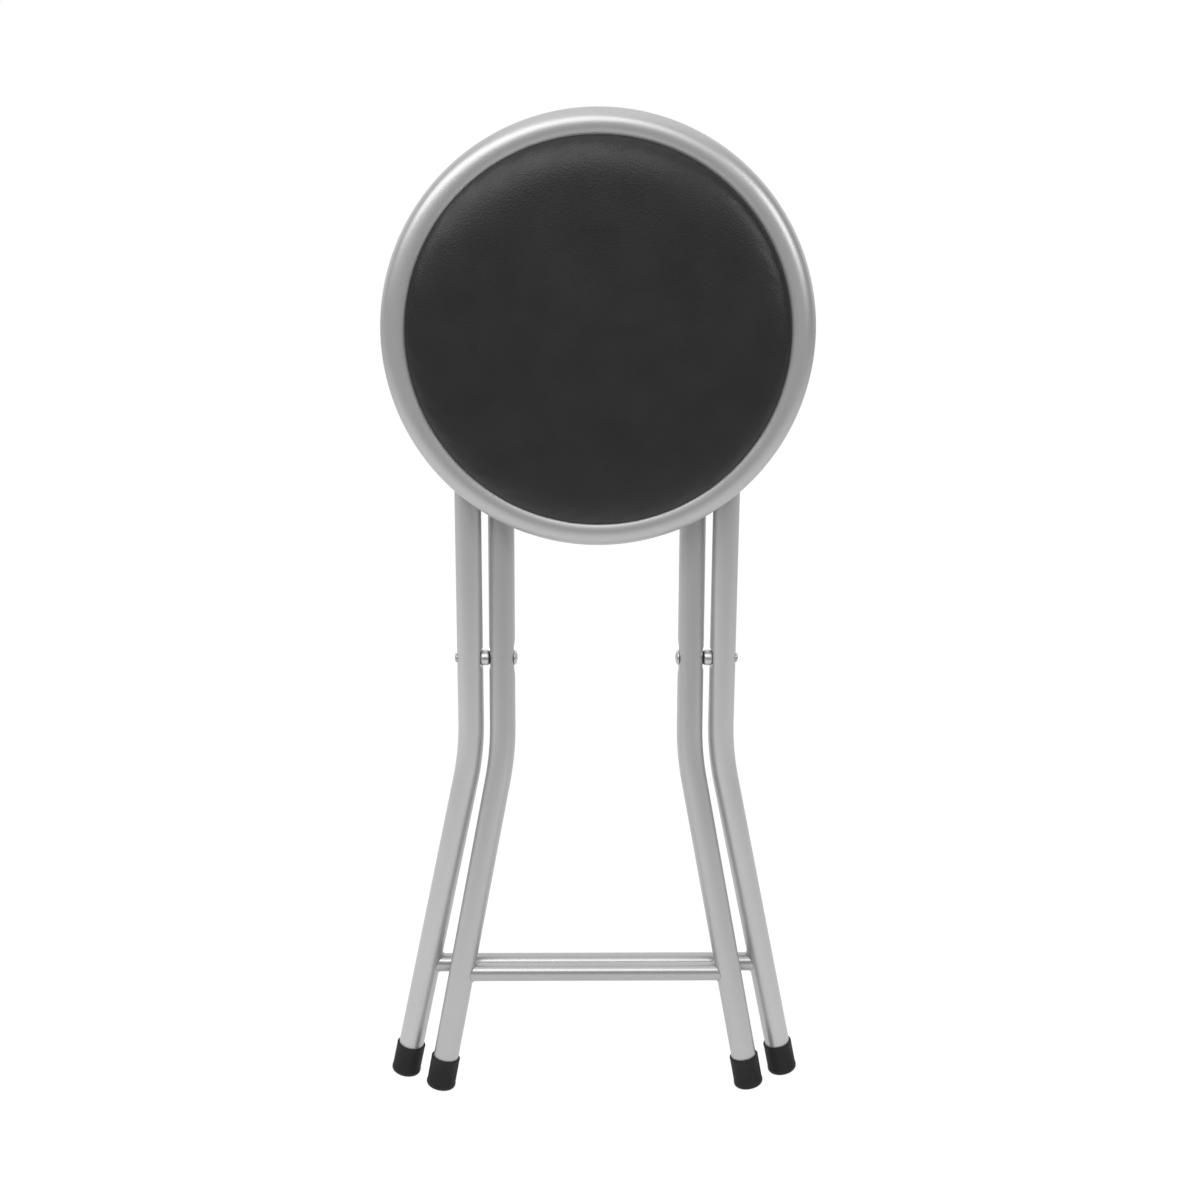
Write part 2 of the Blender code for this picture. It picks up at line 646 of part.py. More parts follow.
def ring_tab(number, angle, steel, parent, holes):
    """A flat tab from the ring to a screw in the board."""
    back = HEM_BACK_N - GAP - TAB_SHEET
    front = back + TAB_SHEET
    depth = RING_TO_HINGE - front
    reach = RING_RADIUS - math.sqrt((RING_TUBE / 2 + GAP) ** 2 - depth ** 2)
    half = TAB_WIDTH / 2
    spread = math.asin(half / reach)
    round_end = (0.0, TAB_SCREW_RADIUS)
    outline = circle_points((0.0, 0.0), reach, -spread, spread, 4)
    outline += circle_points(round_end, half, math.pi / 2, 3 * math.pi / 2, 6)
    mesh_data = bmesh.new()
    turn = math.radians(angle) - math.pi / 2
    cos_turn = math.cos(turn)
    sin_turn = math.sin(turn)

    def place(a, b, depth_n):
        x = a * cos_turn - b * sin_turn
        y = a * sin_turn + b * cos_turn
        return (x, y + HINGE_TO_SEAT_CENTRE, depth_n)

    prism(mesh_data, outline, back, front, place)
    made = make_object(f"ring_tab_{number}", mesh_data, steel, parent)
    boolean(made, holes)


def stand_on_floor(root):
    """Moves the whole stool so that the middle of its box's base is the origin."""
    bpy.context.view_layer.update()
    graph = bpy.context.evaluated_depsgraph_get()
    low = Vector((math.inf, math.inf, math.inf))
    high = -low
    for piece in bpy.data.objects:
        if piece.type != "MESH" or piece.hide_render:
            continue
        shape = piece.evaluated_get(graph)
        for vertex in shape.data.vertices:
            place = shape.matrix_world @ vertex.co
            for axis in range(3):
                low[axis] = min(low[axis], place[axis])
                high[axis] = max(high[axis], place[axis])
    root.location = (-(low.x + high.x) / 2, -(low.y + high.y) / 2, -low.z)
    bpy.context.view_layer.update()


def build():
    for old in list(bpy.data.objects):
        bpy.data.objects.remove(old)

    paint = material("silver_paint", (0.46, 0.46, 0.45), 0.35, 0.7)
    steel = material("bright_steel", (0.62, 0.61, 0.59), 0.25, 1.0)
    zinc = material("zinc_plate", (0.50, 0.50, 0.49), 0.40, 1.0)
    rubber = material("black_rubber", (0.02, 0.02, 0.02), 0.70, 0.0)
    nylon = material("black_nylon", (0.03, 0.03, 0.03), 0.50, 0.0)
    vinyl = material("black_vinyl", (0.014, 0.0143, 0.015), 0.45, 0.0)
    foam = material("foam", (0.75, 0.72, 0.62), 0.95, 0.0)
    wood = material("fibreboard", (0.32, 0.21, 0.12), 0.80, 0.0)

    # The root's location puts the feet on the floor. The pivot is the frames' origin.
    root = make_empty("stool", None, (0, 0, 0), 0.0)
    outer = make_empty("outer_frame_axis", root, (0, 0, 0), FOLDED_HALF_ANGLE)
    inner = make_empty("inner_frame_axis", root, (0, 0, 0), -FOLDED_HALF_ANGLE)
    # Under the seat's empty, Y runs up the back of the seat and Z out of its face.
    seat = make_empty("seat_axis", outer, (0, 0, PIVOT_TO_TOP), math.pi / 2 - FOLDED_HALF_ANGLE)

    half_width = OUTER_X + LEG_TUBE
    along_x = (0, math.pi / 2, 0)
    pivot_hole = cylinder(HOLE_RADIUS, -half_width, half_width, TURNED_SEGMENTS)
    pivot_hole = make_cutter("pivot_hole", pivot_hole, root, rotation=along_x)
    hinge_hole = cylinder(HOLE_RADIUS, -half_width, half_width, TURNED_SEGMENTS)
    hinge_hole = make_cutter("hinge_hole", hinge_hole, outer, (0, 0, PIVOT_TO_TOP), along_x)

    inner_tube("inner_frame_tube", paint, inner, pivot_hole)
    crossbar("inner_crossbar", INNER_LEG, paint, inner)
    crossbar("outer_crossbar", OUTER_LEG, paint, outer)
    for label, side in (("left", -1), ("right", 1)):
        outer_leg(f"outer_leg_{label}", side, paint, outer, (pivot_hole, hinge_hole))
        foot_cap(f"outer_foot_cap_{label}", OUTER_LEG, side, rubber, outer)
        foot_cap(f"inner_foot_cap_{label}", INNER_LEG, side, rubber, inner)
        cope = cylinder(LEG_RADIUS + GAP, -LEG_TUBE, LEG_TUBE, CUTTER_SIDES)
        cope = make_cutter(f"bush_cope_{label}", cope, outer, (side * OUTER_X, 0, 0))
        pivot_hardware(label, side, steel, nylon, outer, cope)

    board_holes = screw_holes("board_holes", "", seat)
    seat_ring(paint, seat)
    seat_pad(vinyl, foam, seat, board_holes)
    seat_board(wood, seat, board_holes)
    screws(zinc, seat)
    bracket_holes = screw_holes("bracket_holes", "bracket", seat)
    catch_holes = screw_holes("catch_holes", "catch", seat)
    tab_holes = screw_holes("tab_holes", "tab", seat)
    ear = LEG_RADIUS + BRACKET_SIDE_CLEARANCE + BRACKET_SHEET + GAP
    for label, side in (("left", -1), ("right", 1)):
        hinge_bracket(label, side, zinc, seat, hinge_hole, bracket_holes)
        head = (HINGE_HEAD_RADIUS, HINGE_HEAD_HEIGHT)
        name = f"hinge_rivet_{label}"
        rivet(name, side, -ear, ear, head, (PEENED_RADIUS, PEENED_HEIGHT), steel, seat, (side * OUTER_X, 0, 0))
        catch(label, side, nylon, seat, catch_holes)
    for number, angle in enumerate(TAB_ANGLES, 1):
        ring_tab(number, angle, paint, seat, tab_holes)

    stand_on_floor(root)


build()
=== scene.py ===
"""The looks of the folding stool: smooth tubes, pad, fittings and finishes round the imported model.

Lengths are in metres. The two frames and the seat are built in their own axes, as in the part's source,
and then placed: each frame has its origin at the pivot and Z up its legs, and the seat has its origin at
its hinge, Y up its back and Z out of its face.
"""

import json
import math

import bmesh
import bpy
from mathutils import Matrix, Vector, noise

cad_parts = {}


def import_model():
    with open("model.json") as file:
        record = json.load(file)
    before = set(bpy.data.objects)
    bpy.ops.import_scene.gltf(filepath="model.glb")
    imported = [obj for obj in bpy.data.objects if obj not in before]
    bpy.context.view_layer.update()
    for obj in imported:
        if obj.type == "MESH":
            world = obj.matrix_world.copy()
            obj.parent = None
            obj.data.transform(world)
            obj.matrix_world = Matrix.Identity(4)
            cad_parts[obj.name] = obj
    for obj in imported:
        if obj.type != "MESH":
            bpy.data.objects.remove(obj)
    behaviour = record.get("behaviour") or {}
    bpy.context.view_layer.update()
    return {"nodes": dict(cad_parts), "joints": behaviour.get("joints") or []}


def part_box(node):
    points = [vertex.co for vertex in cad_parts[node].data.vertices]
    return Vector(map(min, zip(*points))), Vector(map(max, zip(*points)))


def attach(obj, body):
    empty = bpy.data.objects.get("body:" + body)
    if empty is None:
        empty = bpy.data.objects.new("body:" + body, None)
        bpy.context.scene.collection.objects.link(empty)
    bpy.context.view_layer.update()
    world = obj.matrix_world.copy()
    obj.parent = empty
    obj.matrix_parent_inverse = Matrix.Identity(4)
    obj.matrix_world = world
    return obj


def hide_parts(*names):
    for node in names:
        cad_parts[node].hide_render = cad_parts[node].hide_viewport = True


# Seat, as in the part's source
SEAT_DIAMETER = 0.300
RING_TUBE = 0.019
BOARD_THICKNESS = 0.007
BOARD_BACK = 0.0056
COVER_THICKNESS = 0.0008
COVER_HEM = 0.0145
PAD_PROUD_OF_RING = 0.004
PAD_CORNER = 0.002

# Tubes, as in the part's source
LEG_TUBE = 0.019
BAR_TUBE = 0.014
INNER_LEG_SPACING = 0.1383
SPACE_BETWEEN_FRAMES = 0.0044
PIVOT_TO_BEND = 0.0728
PIVOT_TO_BAR = 0.2469
PIVOT_TO_SOLE = 0.3407
INNER_SPLAY = math.radians(10.6)
OUTER_SPLAY = math.radians(11.7)
BEND_RADIUS = 0.225
TOP_CORNER_RADIUS = 0.030
OPEN_HALF_ANGLE = math.radians(30.0)
FLAT_DEPTH = 0.0009
FLAT_HALF_LENGTH = 0.0065
FLAT_REACH = 0.015

# Rivets, bushes and washers, as in the part's source
PIVOT_HEAD_RADIUS = 0.0055
PIVOT_HEAD_HEIGHT = 0.0027
PEENED_RADIUS = 0.0034
PEENED_HEIGHT = 0.0016
RIVET_SHANK_RADIUS = 0.003
BUSH_RADIUS = 0.0058
WASHER_RADIUS = 0.0052
WASHER_THICKNESS = 0.0005

# Hinge, tabs and screws, as in the part's source
LEG_BEHIND_RING = 0.0004
HINGE_IN_FROM_EDGE = 0.070
BRACKET_SHEET = 0.0015
BRACKET_SIDE_CLEARANCE = 0.0005
BRACKET_SCREWS = (0.017, 0.031)
HINGE_HEAD_RADIUS = 0.005
HINGE_HEAD_HEIGHT = 0.002
CATCH_WIDTH = 0.020
CATCH_TO_CORNER = 0.004
CATCH_FLANGE = 0.002
CATCH_SCREW_REACH = 0.018
TAB_ANGLES = (0.0, 90.0, 180.0, 270.0)
TAB_WIDTH = 0.020
TAB_SHEET = 0.0015
TAB_SCREW_TO_HEM = 0.004
SCREW_HEAD_RADIUS = 0.0036
SCREW_HEAD_HEIGHT = 0.0021

# Foot caps, as in the part's source
CAP_HEIGHT = 0.025
CAP_FLOOR = 0.004
CAP_WALL = 0.0012
CAP_FLARE = 0.0003
CAP_EDGE = 0.003
GAP = 0.0003

# Sizes that follow from those above
LEG_RADIUS = LEG_TUBE / 2
BAR_RADIUS = BAR_TUBE / 2
RING_RADIUS = (SEAT_DIAMETER - RING_TUBE) / 2
INNER_X = INNER_LEG_SPACING / 2
OUTER_X = INNER_X + LEG_TUBE + SPACE_BETWEEN_FRAMES
FOLDED_HALF_ANGLE = math.asin((LEG_RADIUS + BAR_RADIUS + GAP) / (2 * PIVOT_TO_BAR))
BOARD_RADIUS = RING_RADIUS - RING_TUBE / 2 - COVER_THICKNESS - 2 * GAP
HEM_RADIUS = BOARD_RADIUS - COVER_HEM
RING_TO_HINGE = RING_TUBE / 2 + LEG_RADIUS + LEG_BEHIND_RING
HINGE_TO_SEAT_CENTRE = SEAT_DIAMETER / 2 - HINGE_IN_FROM_EDGE
PIVOT_TO_TOP = HINGE_TO_SEAT_CENTRE / math.sin(OPEN_HALF_ANGLE)
BOARD_BACK_N = RING_TO_HINGE - BOARD_BACK
HEM_BACK_N = BOARD_BACK_N - GAP - COVER_THICKNESS
CATCH_CENTRE = 2 * PIVOT_TO_TOP * math.sin(OPEN_HALF_ANGLE)
CATCH_OFFSET = INNER_X - TOP_CORNER_RADIUS - CATCH_TO_CORNER - CATCH_WIDTH / 2
TAB_SCREW_RADIUS = HEM_RADIUS - TAB_SCREW_TO_HEM
INNER_LEG = (INNER_X, INNER_SPLAY)
OUTER_LEG = (OUTER_X, OUTER_SPLAY)
SEAT_CENTRE = Vector((0.0, HINGE_TO_SEAT_CENTRE, RING_TO_HINGE))

# Details that only the looks have. A hair is the step between faces that would otherwise lie in one plane.
HAIR = 0.0001
DIMPLE_DEPTH = 0.0020
DIMPLE_HALF_LENGTH = 0.0058
DIMPLE_REACH = 0.0076
FLAT_REACH_AT_BUSH = 0.0092
PAST_FLAT = 1.1
DOME_ANGLES = (15.0, 30.0, 45.0, 60.0, 72.0, 83.0)
BAR_STATIONS = (-1.0, -0.96, -0.5, 0.0, 0.5, 0.96, 1.0)
BAR_TO_LEG = 0.0003
BUSH_ROUNDING = 0.0019
WASHER_ROUNDING = 0.00015
HEAD_RIM = 0.0003
HEAD_CHAMFER = 0.0002
PEENED_CROWN = 0.62
PEENED_RIDGE = 0.55
PEENED_HOLLOW = 0.35
EASED_METAL = 0.0002
EASED_NYLON = 0.0004

# Screws: turns are in radians, and the cross recess is wider at its mouth than at its bottom
SCREW_SHANK_RADIUS = 0.00165
SCREW_SHANK_LENGTH = 0.004
SCREW_FIRST_TURN = 0.7
SCREW_NEXT_TURN = 2.1
RECESS_HALF_WIDTH = 0.00042
RECESS_HALF_LENGTH = 0.0020
RECESS_DEPTH = 0.0012
RECESS_MOUTH = 1.25
RECESS_BOTTOM = 0.45
RECESS_CLEAR = 0.001

# Foot caps: the sole from its middle out, as (radius, height), has a hollow, a ridge and a groove
SOLE_PROFILE = ((0.0, 0.0009), (0.0034, 0.0009), (0.0040, 0.0002), (0.0048, 0.0), (0.0058, 0.0),
                (0.0063, 0.0006), (0.0067, 0.0006), (0.0072, 0.0))
CAP_BAND = 0.0012
CAP_BAND_STEP = 0.0002
CAP_BAND_CHAMFER = 0.0003
CAP_LIP_RADIUS = 0.0006
CAP_NECK_LOW = 0.0030
CAP_NECK_HIGH = 0.0016

# Welds: the arc round a bar is in degrees, and ripples and lumps are shares of the bead's radius
BAR_WELD_RADIUS = 0.0013
BAR_WELD_ARC = (-22.0, 200.0)
BAR_WELD_OUTWARD = 1.02
BAR_WELD_RIPPLE_RATE = 38.0
BAR_WELD_RIPPLE = 0.10
BAR_WELD_LUMP = 0.30
TAB_WELD_RADIUS = 0.0012
TAB_WELD_IN_FROM_SIDES = 0.002
TAB_WELD_RIPPLE_RATE = 60.0
TAB_WELD_RIPPLE = 0.08
TAB_WELD_LUMP = 0.25
TAB_WELD_WIDE = 1.3
TAB_WELD_HIGH = 0.7

# Ring and pad: shares are of the way from the middle of the seat to the pad's edge
RING_FACE_HALF_WIDTH = 0.0110
PAD_BULGE = 0.0017
PAD_SAG = 0.0007
PAD_STUFFING = 0.0040
PAD_SHOULDER = 0.0042
PAD_SHOULDER_LEAN = 0.0032
PAD_SHOULDER_TURN = math.radians(120.0)
PAD_SHOULDER_POWER = 3.0
# Where the painted shade of the crease between pad and ring lies on the pad
PAD_CREASE_SHADE_RADIUS = 0.1328
PAD_FLAT_SHARE = 0.68
PAD_ROLL_POWER = 32.0
PAD_LEAN = 0.0004
PAD_LEAN_TURN = math.radians(140.0)
PAD_TO_RING = 0.00015
PAD_UNEVEN = 0.0003
FOLD_HEIGHT = 0.0007
FOLD_OUTWARD = 0.0002
FOLD_START = 0.895
FOLD_RISE = 0.06
FOLD_FALL = 0.015
HEM_CUT = 0.0007
HEM_GATHER = 0.00045
PAD_SHARES = [0.06 * i for i in range(1, 12)] + [0.70 + 0.02 * i for i in range(11)]
PAD_SHARES += [0.915, 0.93, 0.943, 0.955, 0.965, 0.974, 0.982, 0.989, 0.9945, 0.998, 0.9995, 1.0]

# Staples, and the room that they leave to the tabs and brackets
STAPLE_COUNT = 44
STAPLE_TO_HEM = 0.0048
STAPLE_HALF_LENGTH = 0.0048
STAPLE_HALF_WIDTH = 0.00055
STAPLE_HALF_THICKNESS = 0.0003
STAPLE_RISE = 0.00045
STAPLE_LEG = 0.0012
STAPLE_BEND_LOW = 0.0004
STAPLE_BEND_HIGH = 0.0010
STAPLE_TO_TAB = 0.007
STAPLE_TO_BRACKET = 0.017
BRACKET_LOW = -0.03
BRACKET_HIGH = 0.05

# Steps of the meshes
TUBE_SIDES = 64
BAR_SIDES = 48
RING_SIDES = 36
RING_SEGMENTS = 240
PAD_SEGMENTS = 360
TURNED_SEGMENTS = 48
SCREW_SEGMENTS = 32
BAR_WELD_STEPS = 72
BAR_WELD_SIDES = 14
TAB_WELD_STEPS = 30
TAB_WELD_SIDES = 12
STAPLE_SIDES = 8
HEM_STEPS = 10
SIDES = (("left", -1), ("right", 1))

# Camera, found from the places of the rivets, bars, feet and ring in the photograph
CAMERA_PLACE = (-0.020702, -1.266886, 0.710318)
CAMERA_PITCH = math.radians(14.286)
CAMERA_YAW = math.radians(1.037)
CAMERA_ROLL = math.radians(0.275)
FOCAL_PIXELS = 1807.85
IMAGE_PIXELS = 1200.0
SENSOR = 36.0

# Paint: tone, roughness and orange peel of the inner frame and ring, of the outer legs and of the bars
PAINT_TONE = 0.568
# The outer legs wear a lit copy of the same paint: their lighter tone is painted light.
LIT_OUTER_PAINT_TONE = 0.620
# The bars wear a shaded copy of the same paint: their darker tone is painted shade.
SHADED_BAR_PAINT_TONE = 0.510
PAINT_ROUGHNESS = 0.365
BAR_PAINT_ROUGHNESS = 0.27
PAINT_PEEL = 0.06
BAR_PAINT_PEEL = 0.02

# Stage: how white the floor shows, how much of it is plain white, and how bright it reflects well in front.
# The room's values are how bright it reflects at the left and right, and how much it lights the stool.
FLOOR_SIZE = 60.0
FLOOR_WHITE = 1.12
FLOOR_SHARE = 0.85
FLOOR_AHEAD = 0.15
ROOM_LEFT = 0.40
ROOM_RIGHT = 0.14
AMBIENT = 0.44

# Softboxes: place, target, width and height, and power in watts
SOFTBOX_LEFT = ((-0.62, -1.17, 1.54), (0.0, 0.0, 0.55), (2.50, 0.76), 15.5)
SOFTBOX_RIGHT = ((1.12, -1.02, 1.13), (0.0, 0.0, 0.58), (0.66, 0.56), 4.3)


def smooth_step(share):
    """Runs from 0 to 1 with level ends."""
    share = min(max(share, 0.0), 1.0)
    return share * share * (3.0 - 2.0 * share)


def turns_round(count, offset=0.0):
    """The angles of points evenly round a circle."""
    return [2 * math.pi * (i + offset) / count for i in range(count)]


def oval(middle, first, second, sides, offset=0.0):
    """Points on an oval about a point. first and second are its half axes."""
    return [middle + first * math.cos(turn) + second * math.sin(turn) for turn in turns_round(sides, offset)]


def add_object(name, mesh_data, place=Matrix.Identity(4)):
    """Turns a closed bmesh into an object with its faces outward."""
    bmesh.ops.recalc_face_normals(mesh_data, faces=mesh_data.faces)
    mesh_data.transform(place)
    mesh = bpy.data.meshes.new(name)
    mesh_data.to_mesh(mesh)
    mesh_data.free()
    made = bpy.data.objects.new(name, mesh)
    bpy.context.scene.collection.objects.link(made)
    return made


def add_piece(name, mesh_data, place, finish, body, stands_for=(), sharp=40.0):
    """Turns a closed bmesh, built in a body's own axes, into a piece that rides on that body."""
    piece = add_object(name, mesh_data, place)
    piece.data.shade_smooth()
    piece.data.set_sharp_from_angle(angle=math.radians(sharp))
    piece.data.materials.append(finish)
    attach(piece, body)
    if stands_for:
        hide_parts(*stands_for)
    return piece


def join_rings(mesh_data, first, second):
    """Faces between two rings of vertices. A ring of one vertex closes the shape."""
    count = max(len(first), len(second))
    for i in range(count):
        j = (i + 1) % count
        if len(first) == 1:
            corners = (first[0], second[i], second[j])
        elif len(second) == 1:
            corners = (first[i], second[0], first[j])
        else:
            corners = (first[i], second[i], second[j], first[j])
        mesh_data.faces.new(corners)


def skin(mesh_data, rings, closed=False):
    """Covers rows of points with faces. Open ends are filled."""
    rows = [[mesh_data.verts.new(point) for point in ring] for ring in rings]
    for first, second in zip(rows, rows[1:]):
        join_rings(mesh_data, first, second)
    if closed:
        join_rings(mesh_data, rows[-1], rows[0])
        return
    for row in (rows[0], rows[-1]):
        if len(row) > 2:
            mesh_data.faces.new(row)


def skinned(rings, side=1):
    """A new bmesh over rows of points, mirrored across X for the left side."""
    mesh_data = bmesh.new()
    skin(mesh_data, rings)
    mesh_data.transform(Matrix.Scale(side, 4, (1, 0, 0)))
    return mesh_data


def revolved(profile, segments=TURNED_SEGMENTS, closed=False):
    """A new bmesh of (radius, height) points turned about Z."""
    rings = []
    for radius, height in profile:
        if radius == 0.0:
            rings.append([(0.0, 0.0, height)])
            continue
        turns = turns_round(segments)
        rings.append([(radius * math.cos(turn), radius * math.sin(turn), height) for turn in turns])
    mesh_data = bmesh.new()
    skin(mesh_data, rings, closed)
    return mesh_data


def arc(centre, radius, start, end, steps):
    """Points on an arc, with both ends, for a profile. Angles are in degrees from the first axis."""
    points = []
    for i in range(steps + 1):
        angle = math.radians(start + (end - start) * i / steps)
        points.append((centre[0] + radius * math.cos(angle), centre[1] + radius * math.sin(angle)))
    return points


def turned_along_x(side):
    """Turns a shape made about Z so that its axis runs outward along X."""
    return Matrix.Rotation(side * math.pi / 2, 4, "Y")


# Materials


def put(tree, value, socket):
    """Links a made value to a socket, or sets a plain one there. A plain colour has no alpha."""
    if isinstance(value, bpy.types.NodeSocket):
        tree.links.new(value, socket)
    elif socket.type == "RGBA":
        socket.default_value = (*value, 1.0)
    else:
        socket.default_value = value


def add_node(tree, kind, inputs=None, **settings):
    """A shader node with its settings, and its inputs by name or number."""
    node = tree.nodes.new(f"ShaderNode{kind}")
    for setting, value in settings.items():
        setattr(node, setting, value)
    for socket, value in (inputs or {}).items():
        put(tree, value, node.inputs[socket])
    return node


def new_material(name, colour, metallic, roughness, specular=0.5):
    """A Principled material with its plain values, and its node tree and shader to build on."""
    made = bpy.data.materials.new(name)
    made.use_nodes = True
    shader = made.node_tree.nodes["Principled BSDF"]
    plain = {"Base Color": colour, "Metallic": metallic, "Roughness": roughness}
    plain["Specular IOR Level"] = specular
    for socket, value in plain.items():
        put(made.node_tree, value, shader.inputs[socket])
    return made, made.node_tree, shader


def coordinates(tree, stretch=(1.0, 1.0, 1.0)):
    """The object's own coordinates, in metres, stretched by a factor on each axis."""
    source = add_node(tree, "TexCoord").outputs["Object"]
    return add_node(tree, "Mapping", {"Vector": source, "Scale": stretch}).outputs["Vector"]


def noise_value(tree, vector, scale, detail=2.0, roughness=0.5):
    """Noise from 0 to 1 at a scale in cells per metre."""
    inputs = {"Vector": vector, "Scale": scale, "Detail": detail, "Roughness": roughness}
    return add_node(tree, "TexNoise", inputs).outputs["Fac"]


def cells(tree, vector, scale, feature="F1", **more):
    """Distance to the nearest point of a cell pattern at a scale in cells per metre."""
    inputs = {"Vector": vector, "Scale": scale, **more}
    return add_node(tree, "TexVoronoi", inputs, feature=feature).outputs["Distance"]


def spread(tree, value, low, high, start=0.3, end=0.7):
    """Maps a value between start and end onto the range from low to high."""
    inputs = {"Value": value, "From Min": start, "From Max": end, "To Min": low, "To Max": high}
    return add_node(tree, "MapRange", inputs).outputs["Result"]


def mottle(tree, vector, scale, detail, low=0.0, high=1.0, roughness=0.5):
    """Noise at a scale in cells per metre, spread over the range from low to high."""
    return spread(tree, noise_value(tree, vector, scale, detail, roughness), low, high)


def two_colours(tree, factor, first, second):
    """A colour between two, each plain or made, by a factor."""
    inputs = {"Factor": factor, "A": first, "B": second}
    return add_node(tree, "Mix", inputs, data_type="RGBA").outputs["Result"]


def combine(tree, first, second, operation="ADD"):
    """Two values put together by arithmetic."""
    return add_node(tree, "Math", {0: first, 1: second}, operation=operation).outputs["Value"]


def surface(tree, shader, colour, roughness, bumps):
    """Links a shader's colour and roughness, and chains its bumps of (height, strength, depth in metres)."""
    normal = None
    for height, strength, depth in bumps:
        inputs = {"Height": height, "Strength": strength, "Distance": depth}
        if normal is not None:
            inputs["Normal"] = normal
        normal = add_node(tree, "Bump", inputs).outputs["Normal"]
    for socket, value in {"Base Color": colour, "Roughness": roughness, "Normal": normal}.items():
        put(tree, value, shader.inputs[socket])


def silver_paint(name, tone, rough, orange_peel):
    """Silver powder coat of a tone and roughness: fine flakes, faint orange peel and slight cloudiness."""
    made, tree, shader = new_material(name, (tone, tone, tone), 0.65, rough)
    place = coordinates(tree)
    flakes = mottle(tree, place, 5200.0, 1.0, 0.0, 0.5)
    clouds = mottle(tree, place, 14.0, 3.0, 0.0, 0.5)
    darker = (tone * 0.962, tone * 0.967, tone * 0.971)
    lighter = (tone * 1.040, tone * 1.037, tone * 1.031)
    colour = two_colours(tree, combine(tree, flakes, clouds), darker, lighter)
    patches = mottle(tree, place, 40.0, 2.0, rough - 0.008, rough + 0.008)
    peel = noise_value(tree, place, 700.0)
    surface(tree, shader, colour, patches, [(peel, orange_peel, 0.0001), (flakes, 0.03, 0.00004)])
    return made


def bright_steel():
    """Turned and polished steel with faint turning marks."""
    made, tree, shader = new_material("bright_steel", (0.62, 0.62, 0.61), 1.0, 0.36)
    marks = noise_value(tree, coordinates(tree, (9.0, 1.0, 1.0)), 700.0, 3.0)
    spots = mottle(tree, coordinates(tree), 160.0, 4.0)
    colour = two_colours(tree, spots, (0.56, 0.56, 0.555), (0.72, 0.72, 0.715))
    surface(tree, shader, colour, spread(tree, marks, 0.30, 0.42), [(marks, 0.10, 0.00008)])
    return made


def zinc_plate():
    """Dull zinc plate with a spangled bloom."""
    made, tree, shader = new_material("zinc_plate", (0.50, 0.50, 0.49), 1.0, 0.35)
    place = coordinates(tree)
    spangles = combine(tree, noise_value(tree, place, 90.0, 5.0, 0.6), cells(tree, place, 220.0), "MULTIPLY")
    bloom = spread(tree, spangles, 0.0, 1.0, 0.0, 0.5)
    colour = two_colours(tree, bloom, (0.55, 0.55, 0.55), (0.40, 0.41, 0.40))
    rough = mottle(tree, place, 400.0, 3.0, 0.28, 0.44)
    surface(tree, shader, colour, rough, [(noise_value(tree, place, 900.0), 0.12, 0.0001)])
    return made


def black_rubber():
    """Moulded rubber, matt, with a fine bloom."""
    made, tree, shader = new_material("black_rubber", (0.018, 0.018, 0.018), 0.0, 0.6, 0.35)
    place = coordinates(tree)
    bloom = mottle(tree, place, 120.0, 5.0, roughness=0.6)
    colour = two_colours(tree, bloom, (0.010, 0.010, 0.010), (0.015, 0.0148, 0.0145))
    rough = mottle(tree, place, 300.0, 3.0, 0.50, 0.68)
    surface(tree, shader, colour, rough, [(noise_value(tree, place, 1500.0), 0.15, 0.0001)])
    return made


def black_plastic():
    """Moulded nylon with a fine eroded texture."""
    made, tree, shader = new_material("black_plastic", (0.022, 0.022, 0.023), 0.0, 0.45)
    place = coordinates(tree)
    bloom = mottle(tree, place, 200.0, 3.0)
    colour = two_colours(tree, bloom, (0.020, 0.020, 0.021), (0.028, 0.028, 0.029))
    rough = mottle(tree, place, 70.0, 3.0, 0.38, 0.52)
    surface(tree, shader, colour, rough, [(noise_value(tree, place, 1800.0), 0.20, 0.0001)])
    return made


def black_vinyl(centre):
    """Upholstery vinyl with a fine pebbled grain, with painted shade in the crease where the pad meets the
    ring, where it is also rougher.
    """
    made, tree, shader = new_material("black_vinyl", (0.016, 0.0165, 0.018), 0.0, 0.42)
    place = coordinates(tree)
    wander = add_node(tree, "TexNoise", {"Vector": place, "Scale": 500.0}).outputs["Color"]
    sway = (0.0006, 0.0006, 0.0006)
    warped = add_node(tree, "VectorMath", {0: wander, 1: sway, 2: place}, operation="MULTIPLY_ADD")
    from_middle = cells(tree, warped.outputs["Vector"], 760.0, "SMOOTH_F1", Smoothness=0.5)
    pebbles = spread(tree, from_middle, 1.0, 0.0, 0.0, 1.0)
    fine = noise_value(tree, place, 2600.0)
    worn = mottle(tree, place, 26.0, 4.0)
    open_colour = two_colours(tree, worn, (0.0136, 0.0140, 0.0147), (0.0160, 0.0163, 0.0170))
    outward = add_node(tree, "VectorMath", {0: place, 1: centre}, operation="DISTANCE").outputs["Value"]
    # Painted shade: near the pad's edge the colour turns near black and the roughness rises, standing in for
    # the crease's shadow.
    painted_crease_shade = spread(tree, outward, 0.0, 1.0, PAD_CREASE_SHADE_RADIUS - 0.0008, PAD_CREASE_SHADE_RADIUS + 0.0006)
    colour = two_colours(tree, painted_crease_shade, open_colour, (0.004, 0.004, 0.004))
    soft = mottle(tree, place, 45.0, 4.0, 0.35, 0.43)
    rough = combine(tree, soft, combine(tree, painted_crease_shade, 0.35, "MULTIPLY"))
    surface(tree, shader, colour, rough, [(pebbles, 0.50, 0.00020), (fine, 0.15, 0.0001)])
    return made


